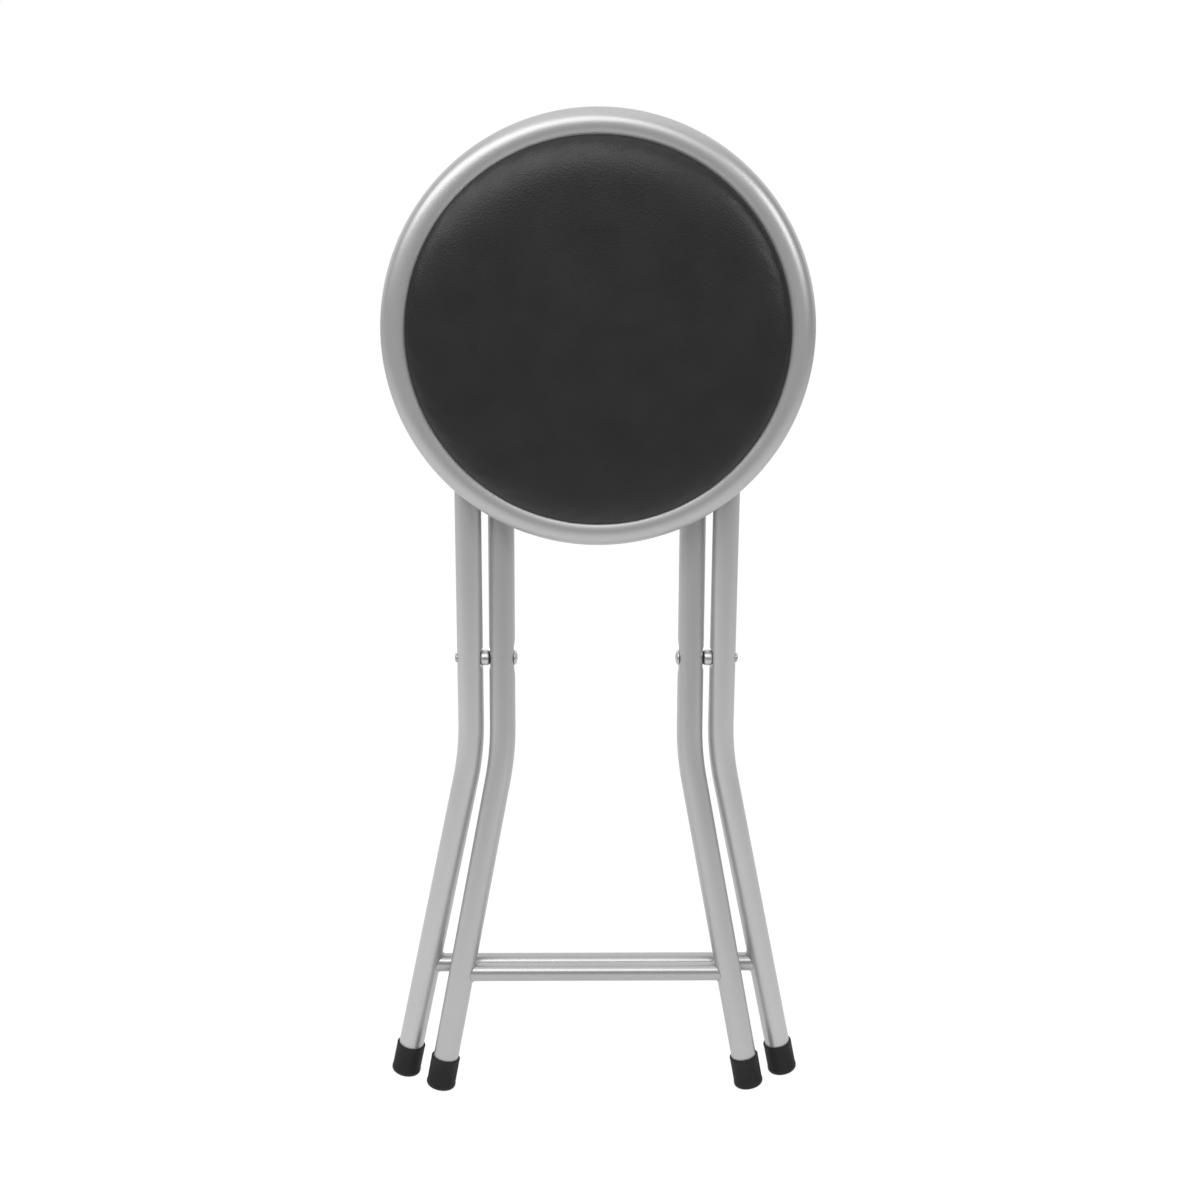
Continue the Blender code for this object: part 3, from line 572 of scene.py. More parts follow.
def fibreboard():
    """Raw medium-density board: warm brown, felted, with short darker fibres."""
    made, tree, shader = new_material("fibreboard", (0.32, 0.21, 0.12), 0.0, 0.8, 0.25)
    fibres = noise_value(tree, coordinates(tree, (1.0, 1.0, 0.25)), 1500.0, 4.0, 0.7)
    across = noise_value(tree, coordinates(tree, (0.25, 1.0, 1.0)), 1300.0, 4.0, 0.7)
    felt = combine(tree, fibres, across, "MULTIPLY")
    warmth = spread(tree, felt, 0.0, 1.0, 0.12, 0.40)
    colour = two_colours(tree, warmth, (0.22, 0.135, 0.070), (0.40, 0.275, 0.165))
    surface(tree, shader, colour, spread(tree, fibres, 0.72, 0.90), [(felt, 0.35, 0.00015)])
    return made


# Tubes


def flat_width(height, reach=FLAT_REACH):
    """Half the width of an inner leg across X at a height above the pivot."""
    outside = (abs(height) - FLAT_HALF_LENGTH) / (reach - FLAT_HALF_LENGTH)
    return LEG_RADIUS - FLAT_DEPTH * (1 - smooth_step(outside))


def dimple(height):
    """How deep an outer leg is pressed in where its bush seats, at a height above the pivot."""
    outside = (abs(height) - DIMPLE_HALF_LENGTH) / (DIMPLE_REACH - DIMPLE_HALF_LENGTH)
    return DIMPLE_DEPTH * (1 - smooth_step(outside))


def leg_x(leg, height):
    """Where the axis of a leg lies across X, at a height below the bend."""
    half_spacing, splay = leg
    return half_spacing + (-height - PIVOT_TO_BEND) * math.tan(splay)


def sole_point(leg, side):
    """The centre of a foot cap's sole."""
    return Vector((side * leg_x(leg, -PIVOT_TO_SOLE), 0.0, -PIVOT_TO_SOLE))


def leg_stations(leg, bend_steps=16, flat_steps=34):
    """Places of the right leg's axis from its foot end past the bend to near the pivot: x, z, lean."""
    half_spacing, splay = leg
    up = Vector((-math.sin(splay), 0.0, math.cos(splay)))
    foot = sole_point(leg, 1) + up * (CAP_FLOOR + GAP)
    stations = [(foot.x, foot.z, splay)]
    centre_x = half_spacing + BEND_RADIUS
    centre_z = -PIVOT_TO_BEND + BEND_RADIUS * math.tan(splay / 2)
    for i in range(bend_steps + 1):
        angle = splay * (1 - i / bend_steps)
        x = centre_x - BEND_RADIUS * math.cos(angle)
        z = centre_z - BEND_RADIUS * math.sin(angle)
        stations.append((x, z, angle))
    for i in range(flat_steps + 1):
        stations.append((half_spacing, FLAT_REACH * PAST_FLAT * (2 * i / flat_steps - 1), 0.0))
    return stations


def tube_ring(station, inward=LEG_RADIUS, outward=LEG_RADIUS):
    """The points round a tube at a station, pressed flat beyond its limits inward and outward."""
    x, z, lean = station
    across = Vector((math.cos(lean), 0.0, math.sin(lean)))
    points = []
    for turn in turns_round(TUBE_SIDES):
        offset = min(max(LEG_RADIUS * math.cos(turn), -inward), outward)
        point = Vector((x, 0.0, z)) + across * offset
        points.append((point.x, LEG_RADIUS * math.sin(turn), point.z))
    return points


def outer_leg(label, side, place, finish):
    """A leg of the outer frame, dimpled where the bush seats, with its top domed over the hinge pin."""
    rings = []
    for station in leg_stations(OUTER_LEG):
        press = dimple(station[1]) if station[2] == 0.0 else 0.0
        rings.append(tube_ring(station, LEG_RADIUS - press))
    rings.append(tube_ring((OUTER_X, PIVOT_TO_TOP, 0.0)))
    for angle in DOME_ANGLES:
        shrink = math.cos(math.radians(angle))
        height = PIVOT_TO_TOP + LEG_RADIUS * math.sin(math.radians(angle))
        centre = Vector((OUTER_X, 0.0, height))
        ring = [Vector(point) for point in tube_ring((OUTER_X, height, 0.0))]
        rings.append([centre + (point - centre) * shrink for point in ring])
    rings.append([(OUTER_X, 0.0, PIVOT_TO_TOP + LEG_RADIUS)])
    name = f"outer_leg_{label}"
    add_piece(f"{name}_tube", skinned(rings, side), place, finish, "outer_frame", [name])


def inner_tube(place, finish, corner_steps=20):
    """The inner frame's one bent tube: two legs, pressed flat at the rivets, and the bar across their top."""
    right = leg_stations(INNER_LEG)
    corner = Vector((INNER_X - TOP_CORNER_RADIUS, 0.0, PIVOT_TO_TOP - TOP_CORNER_RADIUS))
    for i in range(corner_steps + 1):
        angle = math.pi / 2 * i / corner_steps
        x = corner.x + TOP_CORNER_RADIUS * math.cos(angle)
        z = corner.z + TOP_CORNER_RADIUS * math.sin(angle)
        right.append((x, z, angle))
    left = [(-x, z, math.pi - lean) for x, z, lean in reversed(right)]
    rings = []
    for station in right + left:
        inward = outward = LEG_RADIUS
        if abs(station[1]) < FLAT_REACH:
            inward = flat_width(station[1])
            outward = flat_width(station[1], FLAT_REACH_AT_BUSH)
        rings.append(tube_ring(station, inward, outward))
    name = "inner_frame_tube"
    bent = skinned(rings)
    add_piece("inner_frame_bent_tube", bent, place, finish, "inner_frame", [name])


def cope_x(leg, y, rise):
    """Where a crossbar's skin meets the right leg, at a depth y and a rise over the bar's axis."""
    splay = leg[1]
    reach = leg_x(leg, -PIVOT_TO_BAR)
    return reach - (math.sqrt(LEG_RADIUS ** 2 - y * y) + rise * math.sin(splay)) / math.cos(splay)


def crossbar(name, leg, place, finish, body):
    """A tube between two splayed legs, with its ends fitted to them."""
    right = []
    for turn in turns_round(BAR_SIDES):
        y = BAR_RADIUS * math.sin(turn)
        rise = BAR_RADIUS * math.cos(turn)
        right.append(Vector((cope_x(leg, y, rise) - BAR_TO_LEG, y, rise - PIVOT_TO_BAR)))
    rings = [[(point.x * share, point.y, point.z) for point in right] for share in BAR_STATIONS]
    add_piece(f"{name}_tube", skinned(rings), place, finish, body, [name])


def thinned(share, steepness, least):
    """How full a weld bead is on its way from 0 to 1: thin at both ends."""
    return math.sqrt(max(least, min(1.0, steepness * share, steepness * (1.0 - share))))


def weld_bead(name, leg, side, place, finish, body, seed):
    """A painted weld bead round part of a crossbar's end, rippled and thinned towards its ends."""
    start, end = BAR_WELD_ARC
    along = Vector((-1.0, 0.0, 0.0))
    rings = []
    for i in range(BAR_WELD_STEPS + 1):
        share = i / BAR_WELD_STEPS
        turn = math.radians(start + (end - start) * share)
        outward = Vector((0.0, math.sin(turn), math.cos(turn)))
        y = BAR_RADIUS * math.sin(turn)
        rise = BAR_RADIUS * math.cos(turn)
        middle = Vector((cope_x(leg, y, rise), y * BAR_WELD_OUTWARD, rise * BAR_WELD_OUTWARD - PIVOT_TO_BAR))
        ripple = 1.0 + BAR_WELD_RIPPLE * math.sin(BAR_WELD_RIPPLE_RATE * turn + seed)
        lump = 1.0 + BAR_WELD_LUMP * noise.noise(Vector((seed, share * 6.0, 0.5)))
        size = BAR_WELD_RADIUS * thinned(share, 7.0, 0.02) * ripple * lump
        rings.append(oval(middle, outward * size, along * size, BAR_WELD_SIDES))
    add_piece(name, skinned(rings, side), place, finish, body, sharp=80.0)


def foot_cap(frame_name, leg, label, side, place, finish, body):
    """A rubber cup on the end of a leg: thin rolled lip, slight flare, a moulded band and a ringed sole."""
    bore = LEG_RADIUS + HAIR
    top = LEG_RADIUS + GAP + CAP_WALL
    bottom = top + CAP_FLARE - HAIR
    band_low = CAP_EDGE + CAP_BAND_STEP
    band_high = band_low + CAP_BAND
    profile = list(SOLE_PROFILE)
    profile += arc((bottom - CAP_EDGE, CAP_EDGE), CAP_EDGE, -90.0, -8.0, 12)
    profile += [(bottom - CAP_BAND_STEP, band_low), (bottom, band_low + CAP_BAND_CHAMFER)]
    profile += [(bottom, band_high - CAP_BAND_CHAMFER), (bottom - CAP_BAND_CHAMFER, band_high)]
    profile += [(top - HAIR, CAP_HEIGHT - depth) for depth in (CAP_NECK_LOW, CAP_NECK_HIGH)]
    profile += arc((top - CAP_LIP_RADIUS, CAP_HEIGHT - CAP_LIP_RADIUS), CAP_LIP_RADIUS, 0.0, 90.0, 4)
    profile += [(bore, CAP_HEIGHT - HAIR), (bore, CAP_FLOOR), (0.0, CAP_FLOOR)]
    place = place @ Matrix.Translation(sole_point(leg, side) + Vector((0.0, 0.0, HAIR)))
    place = place @ Matrix.Rotation(-side * leg[1], 4, "Y")
    name = f"{frame_name}_foot_cap_{label}"
    cup = revolved(profile, TUBE_SIDES)
    add_piece(f"{name}_moulded", cup, place, finish, body, [name], 50.0)


# Rivets, bushes and screws


def rivet(start, end, head_radius, head_height):
    """A turned rivet about Z, with the face under its domed head at start and its peened end's at end."""
    rim = start - HEAD_RIM
    profile = [(0.0, start - head_height)]
    for angle in range(10, 90, 8):
        turn = math.radians(angle)
        profile.append((head_radius * math.sin(turn), rim - (head_height - HEAD_RIM) * math.cos(turn)))
    profile += [(head_radius, rim), (head_radius - HEAD_CHAMFER, start), (RIVET_SHANK_RADIUS, start)]
    rim = end + HEAD_RIM
    tip = end + PEENED_HEIGHT
    profile += [(RIVET_SHANK_RADIUS, end), (PEENED_RADIUS - HEAD_CHAMFER, end), (PEENED_RADIUS, rim)]
    for angle in (20, 40, 60, 75):
        turn = math.radians(angle)
        radius = PEENED_RADIUS * (PEENED_CROWN + (1.0 - PEENED_CROWN) * math.cos(turn))
        profile.append((radius, rim + (PEENED_HEIGHT - HEAD_RIM) * math.sin(turn)))
    profile += [(PEENED_RADIUS * PEENED_RIDGE, tip), (PEENED_RADIUS * PEENED_HOLLOW, tip - HEAD_CHAMFER)]
    profile += [(0.0, tip - HEAD_RIM)]
    return revolved(profile)


def pivot_fittings(label, side, place, steel, plastic):
    """Rivet, washer and bush of one crossing. The bush is a barrel seated in the outer leg's dimple."""
    place = place @ turned_along_x(side)
    start = INNER_X - flat_width(0.0) - HAIR
    turned = rivet(start, OUTER_X + LEG_RADIUS, PIVOT_HEAD_RADIUS, PIVOT_HEAD_HEIGHT)
    name = f"pivot_rivet_{label}"
    add_piece(f"{name}_turned", turned, place, steel, "outer_frame", [name])

    low = INNER_X + flat_width(0.0) + HAIR
    high = low + WASHER_THICKNESS
    edge = WASHER_ROUNDING
    profile = [(RIVET_SHANK_RADIUS, low), (WASHER_RADIUS - edge, low), (WASHER_RADIUS, low + edge)]
    profile += [(WASHER_RADIUS, high - edge), (WASHER_RADIUS - edge, high), (RIVET_SHANK_RADIUS, high)]
    punched = revolved(profile, closed=True)
    name = f"pivot_washer_{label}"
    add_piece(f"{name}_punched", punched, place, plastic, "outer_frame", [name])

    low = high + HAIR
    high = OUTER_X - LEG_RADIUS + DIMPLE_DEPTH
    barrel = BUSH_RADIUS - BUSH_ROUNDING
    profile = [(RIVET_SHANK_RADIUS, low)]
    profile += arc((barrel, low + BUSH_ROUNDING), BUSH_ROUNDING, -90.0, 0.0, 8)
    profile += arc((barrel, high - BUSH_ROUNDING), BUSH_ROUNDING, 0.0, 90.0, 8)
    profile += [(RIVET_SHANK_RADIUS, high)]
    turned = revolved(profile, closed=True)
    name = f"spacer_bush_{label}"
    add_piece(f"{name}_turned", turned, place, steel, "outer_frame", [name])


def hinge_rivet(label, side, place, finish):
    """The rivet that pins the top of an outer leg in its bracket."""
    ear = LEG_RADIUS + BRACKET_SIDE_CLEARANCE + BRACKET_SHEET
    turned = rivet(-ear, ear, HINGE_HEAD_RADIUS, HINGE_HEAD_HEIGHT)
    place = place @ Matrix.Translation((side * OUTER_X, 0.0, 0.0)) @ turned_along_x(side)
    name = f"hinge_rivet_{label}"
    add_piece(f"{name}_turned", turned, place, finish, "seat", [name])


def screw_places():
    """Where each wood screw goes: name, x, y and the height of the face under its head."""
    places = []
    bracket_back = HEM_BACK_N - GAP - BRACKET_SHEET
    catch_back = BOARD_BACK_N - GAP - CATCH_FLANGE
    tab_back = HEM_BACK_N - GAP - TAB_SHEET
    for label, side in SIDES:
        for number, y in enumerate(BRACKET_SCREWS, 1):
            places.append((f"bracket_screw_{label}_{number}", side * OUTER_X, y, bracket_back))
        for number, reach in enumerate((-CATCH_SCREW_REACH, CATCH_SCREW_REACH), 1):
            y = CATCH_CENTRE + reach
            places.append((f"catch_screw_{label}_{number}", side * CATCH_OFFSET, y, catch_back))
    for number, angle in enumerate(TAB_ANGLES, 1):
        x = TAB_SCREW_RADIUS * math.cos(math.radians(angle))
        y = HINGE_TO_SEAT_CENTRE + TAB_SCREW_RADIUS * math.sin(math.radians(angle))
        places.append((f"tab_screw_{number}", x, y, tab_back))
    return places


def recess_slot(turn):
    """A cutter for one slot of a cross recess, wider at the face of the head than at its bottom."""
    wide = RECESS_HALF_WIDTH
    rings = []
    for depth, share in ((-RECESS_CLEAR, RECESS_MOUTH), (RECESS_DEPTH, RECESS_BOTTOM)):
        z = depth - SCREW_HEAD_HEIGHT
        reach = RECESS_HALF_LENGTH * share
        rings.append([(-reach, -wide, z), (reach, -wide, z), (reach, wide, z), (-reach, wide, z)])
    return add_object("recess", skinned(rings), Matrix.Rotation(turn, 4, "Z"))


def cross_recessed_head():
    """The mesh of a pan-head screw along +Z, with a cross recess in its head, which lies below Z = 0."""
    profile = [(0.0, -SCREW_HEAD_HEIGHT)]
    for angle in range(12, 85, 9):
        turn = math.radians(angle)
        radius = SCREW_HEAD_RADIUS * math.sin(turn) ** 0.8
        profile.append((radius, -SCREW_HEAD_HEIGHT * math.cos(turn) ** 0.45))
    profile += [(SCREW_HEAD_RADIUS, -HEAD_RIM), (SCREW_HEAD_RADIUS - HEAD_CHAMFER, 0.0)]
    profile += [(SCREW_SHANK_RADIUS, 0.0), (0.0, SCREW_SHANK_LENGTH)]
    head = add_object("screw_head", revolved(profile, SCREW_SEGMENTS))
    cutters = [recess_slot(0.0), recess_slot(math.pi / 2)]
    for cutter in cutters:
        cut = head.modifiers.new("recess", "BOOLEAN")
        cut.object = cutter
        cut.solver = "EXACT"
    graph = bpy.context.evaluated_depsgraph_get()
    made = bpy.data.meshes.new_from_object(head.evaluated_get(graph))
    for old in [head, *cutters]:
        bpy.data.objects.remove(old)
    return made


def screws(place, finish):
    """Every screw stands for its node, each turned by its own amount."""
    mesh = cross_recessed_head()
    for number, (name, x, y, face) in enumerate(screw_places()):
        mesh_data = bmesh.new()
        mesh_data.from_mesh(mesh)
        turn = Matrix.Rotation(SCREW_FIRST_TURN + SCREW_NEXT_TURN * number, 4, "Z")
        at = place @ Matrix.Translation((x, y, face)) @ turn
        add_piece(f"{name}_head", mesh_data, at, finish, "seat", [name], 30.0)
    bpy.data.meshes.remove(mesh)


# Seat


def seat_ring(place, finish):
    """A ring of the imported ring's size. Its face is fuller than a round tube's, and the pad rests there."""
    low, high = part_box("seat_ring")
    outside = (high.z - low.z) / 2
    half_tube = RING_TUBE / 2
    inside = outside - RING_TUBE
    face = outside - RING_FACE_HALF_WIDTH
    last = math.degrees(math.acos((inside - face) / RING_FACE_HALF_WIDTH))
    profile = []
    for i in range(RING_SIDES):
        angle = math.radians(last * i / (RING_SIDES - 1))
        profile.append((face + RING_FACE_HALF_WIDTH * math.cos(angle), half_tube * math.sin(angle)))
    profile += [(inside, half_tube * share) for share in (0.6, 0.3)]
    profile += arc((outside - half_tube, 0.0), half_tube, 180.0, 360.0, RING_SIDES)[:-1]
    rolled = revolved(profile, RING_SEGMENTS, closed=True)
    place = place @ Matrix.Translation(SEAT_CENTRE)
    add_piece("seat_ring_tube", rolled, place, finish, "seat", ["seat_ring"])


def pleats(angle, seed, rate):
    """Uneven small folds round the seat, from -1 to 1."""
    around = Vector((math.cos(angle), math.sin(angle), 0.0)) * rate
    return noise.fractal(around + Vector((seed, 0.3, 0.7)), 1.0, 2.0, 3, noise_basis="PERLIN_ORIGINAL")


def pad_point(radius, height, angle):
    """A point of the pad on its way round."""
    return (radius * math.cos(angle), radius * math.sin(angle), height)


def rest_on_ring(radius):
    """How far in front of the ring's middle plane the pad lies on the ring, at a distance from the middle."""
    offset = (radius - SEAT_DIAMETER / 2) / RING_FACE_HALF_WIDTH + 1.0
    return RING_TUBE / 2 * math.sqrt(1.0 - offset * offset) + PAD_TO_RING


def pad_face(turns, edges):
    """Rings of the crowned face, from its middle to where its edge rests on the ring."""
    top = RING_TUBE / 2 + PAD_PROUD_OF_RING + PAD_STUFFING
    levels = [rest_on_ring(edge) for edge in edges]
    leans = [max(0.0, math.cos(turn - PAD_SHOULDER_TURN)) for turn in turns]
    drops = [PAD_SHOULDER + PAD_SHOULDER_LEAN * lean * lean for lean in leans]
    rings = [[(0.0, 0.0, top)]]
    for share in PAD_SHARES:
        roll = 1.0 - math.sqrt(max(0.0, 1.0 - share ** PAD_ROLL_POWER))
        slope = max(0.0, (share - PAD_FLAT_SHARE) / (1.0 - PAD_FLAT_SHARE))
        folded = smooth_step((share - FOLD_START) / FOLD_RISE) * smooth_step((1.0 - share) / FOLD_FALL)
        ring = []
        for turn, edge, level, drop in zip(turns, edges, levels, drops):
            here = Vector((math.cos(turn), math.sin(turn), 0.0)) * share
            depth = 0.55 + 0.45 * pleats(turn, seed=8.0, rate=1.6)
            fold = folded * depth * pleats(turn + 2.0 * share, seed=3.0, rate=11.0)
            height = top - drop * slope ** PAD_SHOULDER_POWER - (top - drop - level) * roll
            height += FOLD_HEIGHT * fold
            height += PAD_UNEVEN * (1.0 - roll) * noise.noise(here * 3.1 + Vector((2.0, 5.0, 1.0)))
            ring.append(pad_point(edge * share + FOLD_OUTWARD * fold, height, turn))
        rings.append(ring)
    return rings


def pad_back(turns, edges, side):
    """Rings from the pad's edge down the ring's inside and round the hem to the front of the board."""
    back = -BOARD_BACK - GAP - COVER_THICKNESS
    rings = []
    for share in (0.3, 0.65, 1.0):
        radii = [edge + (side - edge) * share for edge in edges]
        rings.append([pad_point(radius, rest_on_ring(radius), turn) for radius, turn in zip(radii, turns)])
    profile = [(side, RING_TUBE * 0.3), (side, 0.0)]
    profile += arc((side - PAD_CORNER, back + PAD_CORNER), PAD_CORNER, 0.0, -90.0, 6)
    rings += [[pad_point(radius, height, turn) for turn in turns] for radius, height in profile]

    # The hem is gathered more the nearer it comes to its cut edge.
    cuts = [HEM_RADIUS + HEM_CUT * pleats(turn, seed=12.0, rate=2.5) for turn in turns]
    for i in range(1, HEM_STEPS + 1):
        share = i / HEM_STEPS
        ring = []
        for turn, cut in zip(turns, cuts):
            radius = (side - PAD_CORNER) + (cut - side + PAD_CORNER) * share
            gather = 0.5 + 0.5 * pleats(turn, seed=17.0, rate=13.0)
            ring.append(pad_point(radius, back + HEM_GATHER * share * gather, turn))
        rings.append(ring)
    under = back + COVER_THICKNESS + HAIR
    front_of_board = BOARD_THICKNESS - BOARD_BACK + GAP
    rings.append([pad_point(cut, under, turn) for turn, cut in zip(turns, cuts)])
    for height in (under, front_of_board):
        rings.append([pad_point(BOARD_RADIUS + HAIR, height, turn) for turn in turns])
    rings.append([(0.0, 0.0, front_of_board)])
    return rings


def seat_pad(place, finish):
    """The stuffed seat: a crowned face, small pleats where it rolls over, and a hem stapled behind."""
    side = BOARD_RADIUS + GAP + COVER_THICKNESS
    turns = turns_round(PAD_SEGMENTS)
    edges = []
    for turn in turns:
        lean = PAD_LEAN * max(0.0, math.cos(turn - PAD_LEAN_TURN)) ** 4
        edges.append(side + PAD_BULGE - PAD_SAG * math.sin(turn) + lean)
    stuffed = skinned(pad_face(turns, edges) + pad_back(turns, edges, side))
    place = place @ Matrix.Translation(SEAT_CENTRE)
    nodes = ["seat_cover", "seat_foam"]
    pad = add_piece("seat_pad", stuffed, place, finish, "seat", nodes, 60.0)


def near_fitting(x, y):
    """Whether a staple here would lie under a tab or a bracket."""
    if abs(abs(x) - OUTER_X) < STAPLE_TO_BRACKET and BRACKET_LOW < y < BRACKET_HIGH:
        return True
    for angle in TAB_ANGLES:
        turn = math.radians(angle)
        along = x * math.cos(turn) + (y - HINGE_TO_SEAT_CENTRE) * math.sin(turn)
        across = -x * math.sin(turn) + (y - HINGE_TO_SEAT_CENTRE) * math.cos(turn)
        if along > 0 and abs(across) < TAB_WIDTH / 2 + STAPLE_TO_TAB:
            return True
    return False


def staple_wire(centre, direction, outward):
    """Rings of points along one staple: two short legs into the board and the crown between them."""
    half = [(STAPLE_HALF_LENGTH, -STAPLE_LEG), (STAPLE_HALF_LENGTH, -2 * HAIR)]
    half += [(STAPLE_HALF_LENGTH - STAPLE_BEND_LOW, STAPLE_RISE * 0.8)]
    half += [(STAPLE_HALF_LENGTH - STAPLE_BEND_HIGH, STAPLE_RISE)]
    path = [(-along, up) for along, up in half] + half[::-1]
    across = direction.cross(outward)
    rings = []
    for i, (along, up) in enumerate(path):
        before = path[max(i - 1, 0)]
        after = path[min(i + 1, len(path) - 1)]
        heading = (direction * (after[0] - before[0]) + outward * (after[1] - before[1])).normalized()
        normal = across.cross(heading)
        middle = centre + direction * along + outward * up
        wide = across * STAPLE_HALF_WIDTH
        rings.append(oval(middle, wide, normal * STAPLE_HALF_THICKNESS, STAPLE_SIDES, 0.5))
    return rings


def hem_staples(place, finish):
    """Upholstery staples that hold the hem behind the board, set a little unevenly."""
    mesh_data = bmesh.new()
    radius = HEM_RADIUS + STAPLE_TO_HEM
    for number in range(STAPLE_COUNT):
        wander = noise.noise(Vector((number * 1.7, 0.4, 0.0)))
        turn = 2 * math.pi * (number + 0.5 + 0.25 * wander) / STAPLE_COUNT
        x = radius * math.cos(turn)
        y = HINGE_TO_SEAT_CENTRE + radius * math.sin(turn)
        if near_fitting(x, y):
            continue
        tilt = turn + math.pi / 2 + 0.35 * noise.noise(Vector((number * 2.3, 3.1, 0.0)))
        direction = Vector((math.cos(tilt), math.sin(tilt), 0.0))
        centre = Vector((x, y, HEM_BACK_N + 2 * HAIR))
        skin(mesh_data, staple_wire(centre, direction, Vector((0.0, 0.0, -1.0))))
    add_piece("hem_staples", mesh_data, place, finish, "seat", sharp=70.0)


def tab_welds(place, finish):
    """Short beads where the tabs meet the ring."""
    back = HEM_BACK_N - GAP - TAB_SHEET
    depth = RING_TO_HINGE - back
    reach = RING_RADIUS - math.sqrt(max((RING_TUBE / 2) ** 2 - depth ** 2, 0.0))
    upward = Vector((0.0, 0.0, 1.0))
    for number, angle in enumerate(TAB_ANGLES, 1):
        turn = math.radians(angle)
        outward = Vector((math.cos(turn), math.sin(turn), 0.0))
        across = Vector((-math.sin(turn), math.cos(turn), 0.0))
        rings = []
        for i in range(TAB_WELD_STEPS + 1):
            share = i / TAB_WELD_STEPS
            offset = (share - 0.5) * (TAB_WIDTH - 2 * TAB_WELD_IN_FROM_SIDES)
            ripple = 1.0 + TAB_WELD_RIPPLE * math.sin(TAB_WELD_RIPPLE_RATE * share)
            lump = 1.0 + TAB_WELD_LUMP * noise.noise(Vector((number * 3.0, share * 5.0, 0.2)))
            size = TAB_WELD_RADIUS * thinned(share, 8.0, 0.03) * ripple * lump
            middle = outward * math.sqrt(reach * reach - offset * offset) + across * offset
            middle += Vector((0.0, HINGE_TO_SEAT_CENTRE, back + 2 * HAIR))
            wide = outward * size * TAB_WELD_WIDE
            rings.append(oval(middle, wide, upward * size * TAB_WELD_HIGH, TAB_WELD_SIDES))
        name = f"tab_weld_{number}"
        add_piece(name, skinned(rings), place, finish, "seat", sharp=80.0)


def dress_node(frame, name, finish, bevel):
    """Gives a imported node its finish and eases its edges."""
    node = frame["nodes"][name]
    node.data.materials.clear()
    node.data.materials.append(finish)
    if bevel:
        ease = node.modifiers.new("eased_edges", "BEVEL")
        ease.width = bevel
        ease.segments = 2
        ease.limit_method = "ANGLE"
        ease.angle_limit = math.radians(40.0)


# Stage, lamps and camera


def make_floor():
    """A floor that shows white, keeps a faint shadow and reflects dimmer well in front of the stool."""
    bpy.ops.mesh.primitive_plane_add(size=FLOOR_SIZE, location=(0.0, 0.0, 0.0))
    floor = bpy.context.object
    floor.name = "studio_floor"
    made = bpy.data.materials.new("studio_floor")
    made.use_nodes = True
    tree = made.node_tree
    tree.nodes.clear()
    place = add_node(tree, "SeparateXYZ", {"Vector": coordinates(tree)}).outputs
    path = add_node(tree, "LightPath").outputs
    near = spread(tree, place["Y"], FLOOR_AHEAD, 1.0, -1.6, -0.3)
    across = combine(tree, place["X"], place["X"], "MULTIPLY")
    near = combine(tree, near, spread(tree, across, 1.0, 0.45, 0.4, 9.0), "MULTIPLY")
    near = combine(tree, near, spread(tree, place["X"], 1.0, 0.8, -0.6, 1.6), "MULTIPLY")
    shown = combine(tree, path["Is Camera Ray"], FLOOR_WHITE, "MULTIPLY")
    white = add_node(tree, "Emission", {"Strength": combine(tree, shown, near, "MAXIMUM")})
    plain = add_node(tree, "BsdfDiffuse", {"Color": (0.9, 0.9, 0.9)})
    seen = combine(tree, path["Is Camera Ray"], path["Is Glossy Ray"], "MAXIMUM")
    seen = combine(tree, seen, path["Is Transmission Ray"], "MAXIMUM")
    share = combine(tree, seen, FLOOR_SHARE, "MULTIPLY")
    mix = add_node(tree, "MixShader", {"Fac": share, 1: plain.outputs["BSDF"], 2: white.outputs["Emission"]})
    add_node(tree, "OutputMaterial", {"Surface": mix.outputs["Shader"]})
    floor.data.materials.append(made)


def make_world():
    """White where the camera looks, a white backdrop behind in reflections and a dimmer room in front."""
    world = bpy.data.worlds.new("studio")
    bpy.context.scene.world = world
    world.use_nodes = True
    tree = world.node_tree
    tree.nodes.clear()
    generated = add_node(tree, "TexCoord").outputs["Generated"]
    heading = add_node(tree, "SeparateXYZ", {"Vector": generated}).outputs
    path = add_node(tree, "LightPath").outputs
    ahead = spread(tree, heading["X"], ROOM_LEFT, ROOM_RIGHT, -1.0, 1.0)
    behind = spread(tree, heading["Y"], 0.0, 1.0, 0.05, 0.40)
    overhead = spread(tree, heading["Z"], 0.0, 1.0, 0.55, 0.90)
    room = combine(tree, combine(tree, behind, overhead, "MAXIMUM"), ahead, "MAXIMUM")
    lights = []
    for strength in (AMBIENT, room, 1.0):
        light = add_node(tree, "Background", {"Color": (1.0, 1.0, 1.0), "Strength": strength})
        lights.append(light.outputs["Background"])
    ambient, reflected, shown = lights
    glossy = combine(tree, path["Is Glossy Ray"], path["Is Transmission Ray"], "MAXIMUM")
    lit = add_node(tree, "MixShader", {"Fac": glossy, 1: ambient, 2: reflected}).outputs["Shader"]
    seen = add_node(tree, "MixShader", {"Fac": path["Is Camera Ray"], 1: lit, 2: shown})
    add_node(tree, "OutputWorld", {"Surface": seen.outputs["Shader"]})


def make_lamp(name, place, target, size, power):
    """A soft box that faces a target. size is (width, height) and power is in watts."""
    data = bpy.data.lights.new(name, "AREA")
    data.shape = "RECTANGLE"
    data.size, data.size_y = size
    data.energy = power
    lamp = bpy.data.objects.new(name, data)
    bpy.context.scene.collection.objects.link(lamp)
    lamp.location = place
    lamp.rotation_euler = (Vector(target) - Vector(place)).to_track_quat("-Z", "Y").to_euler()


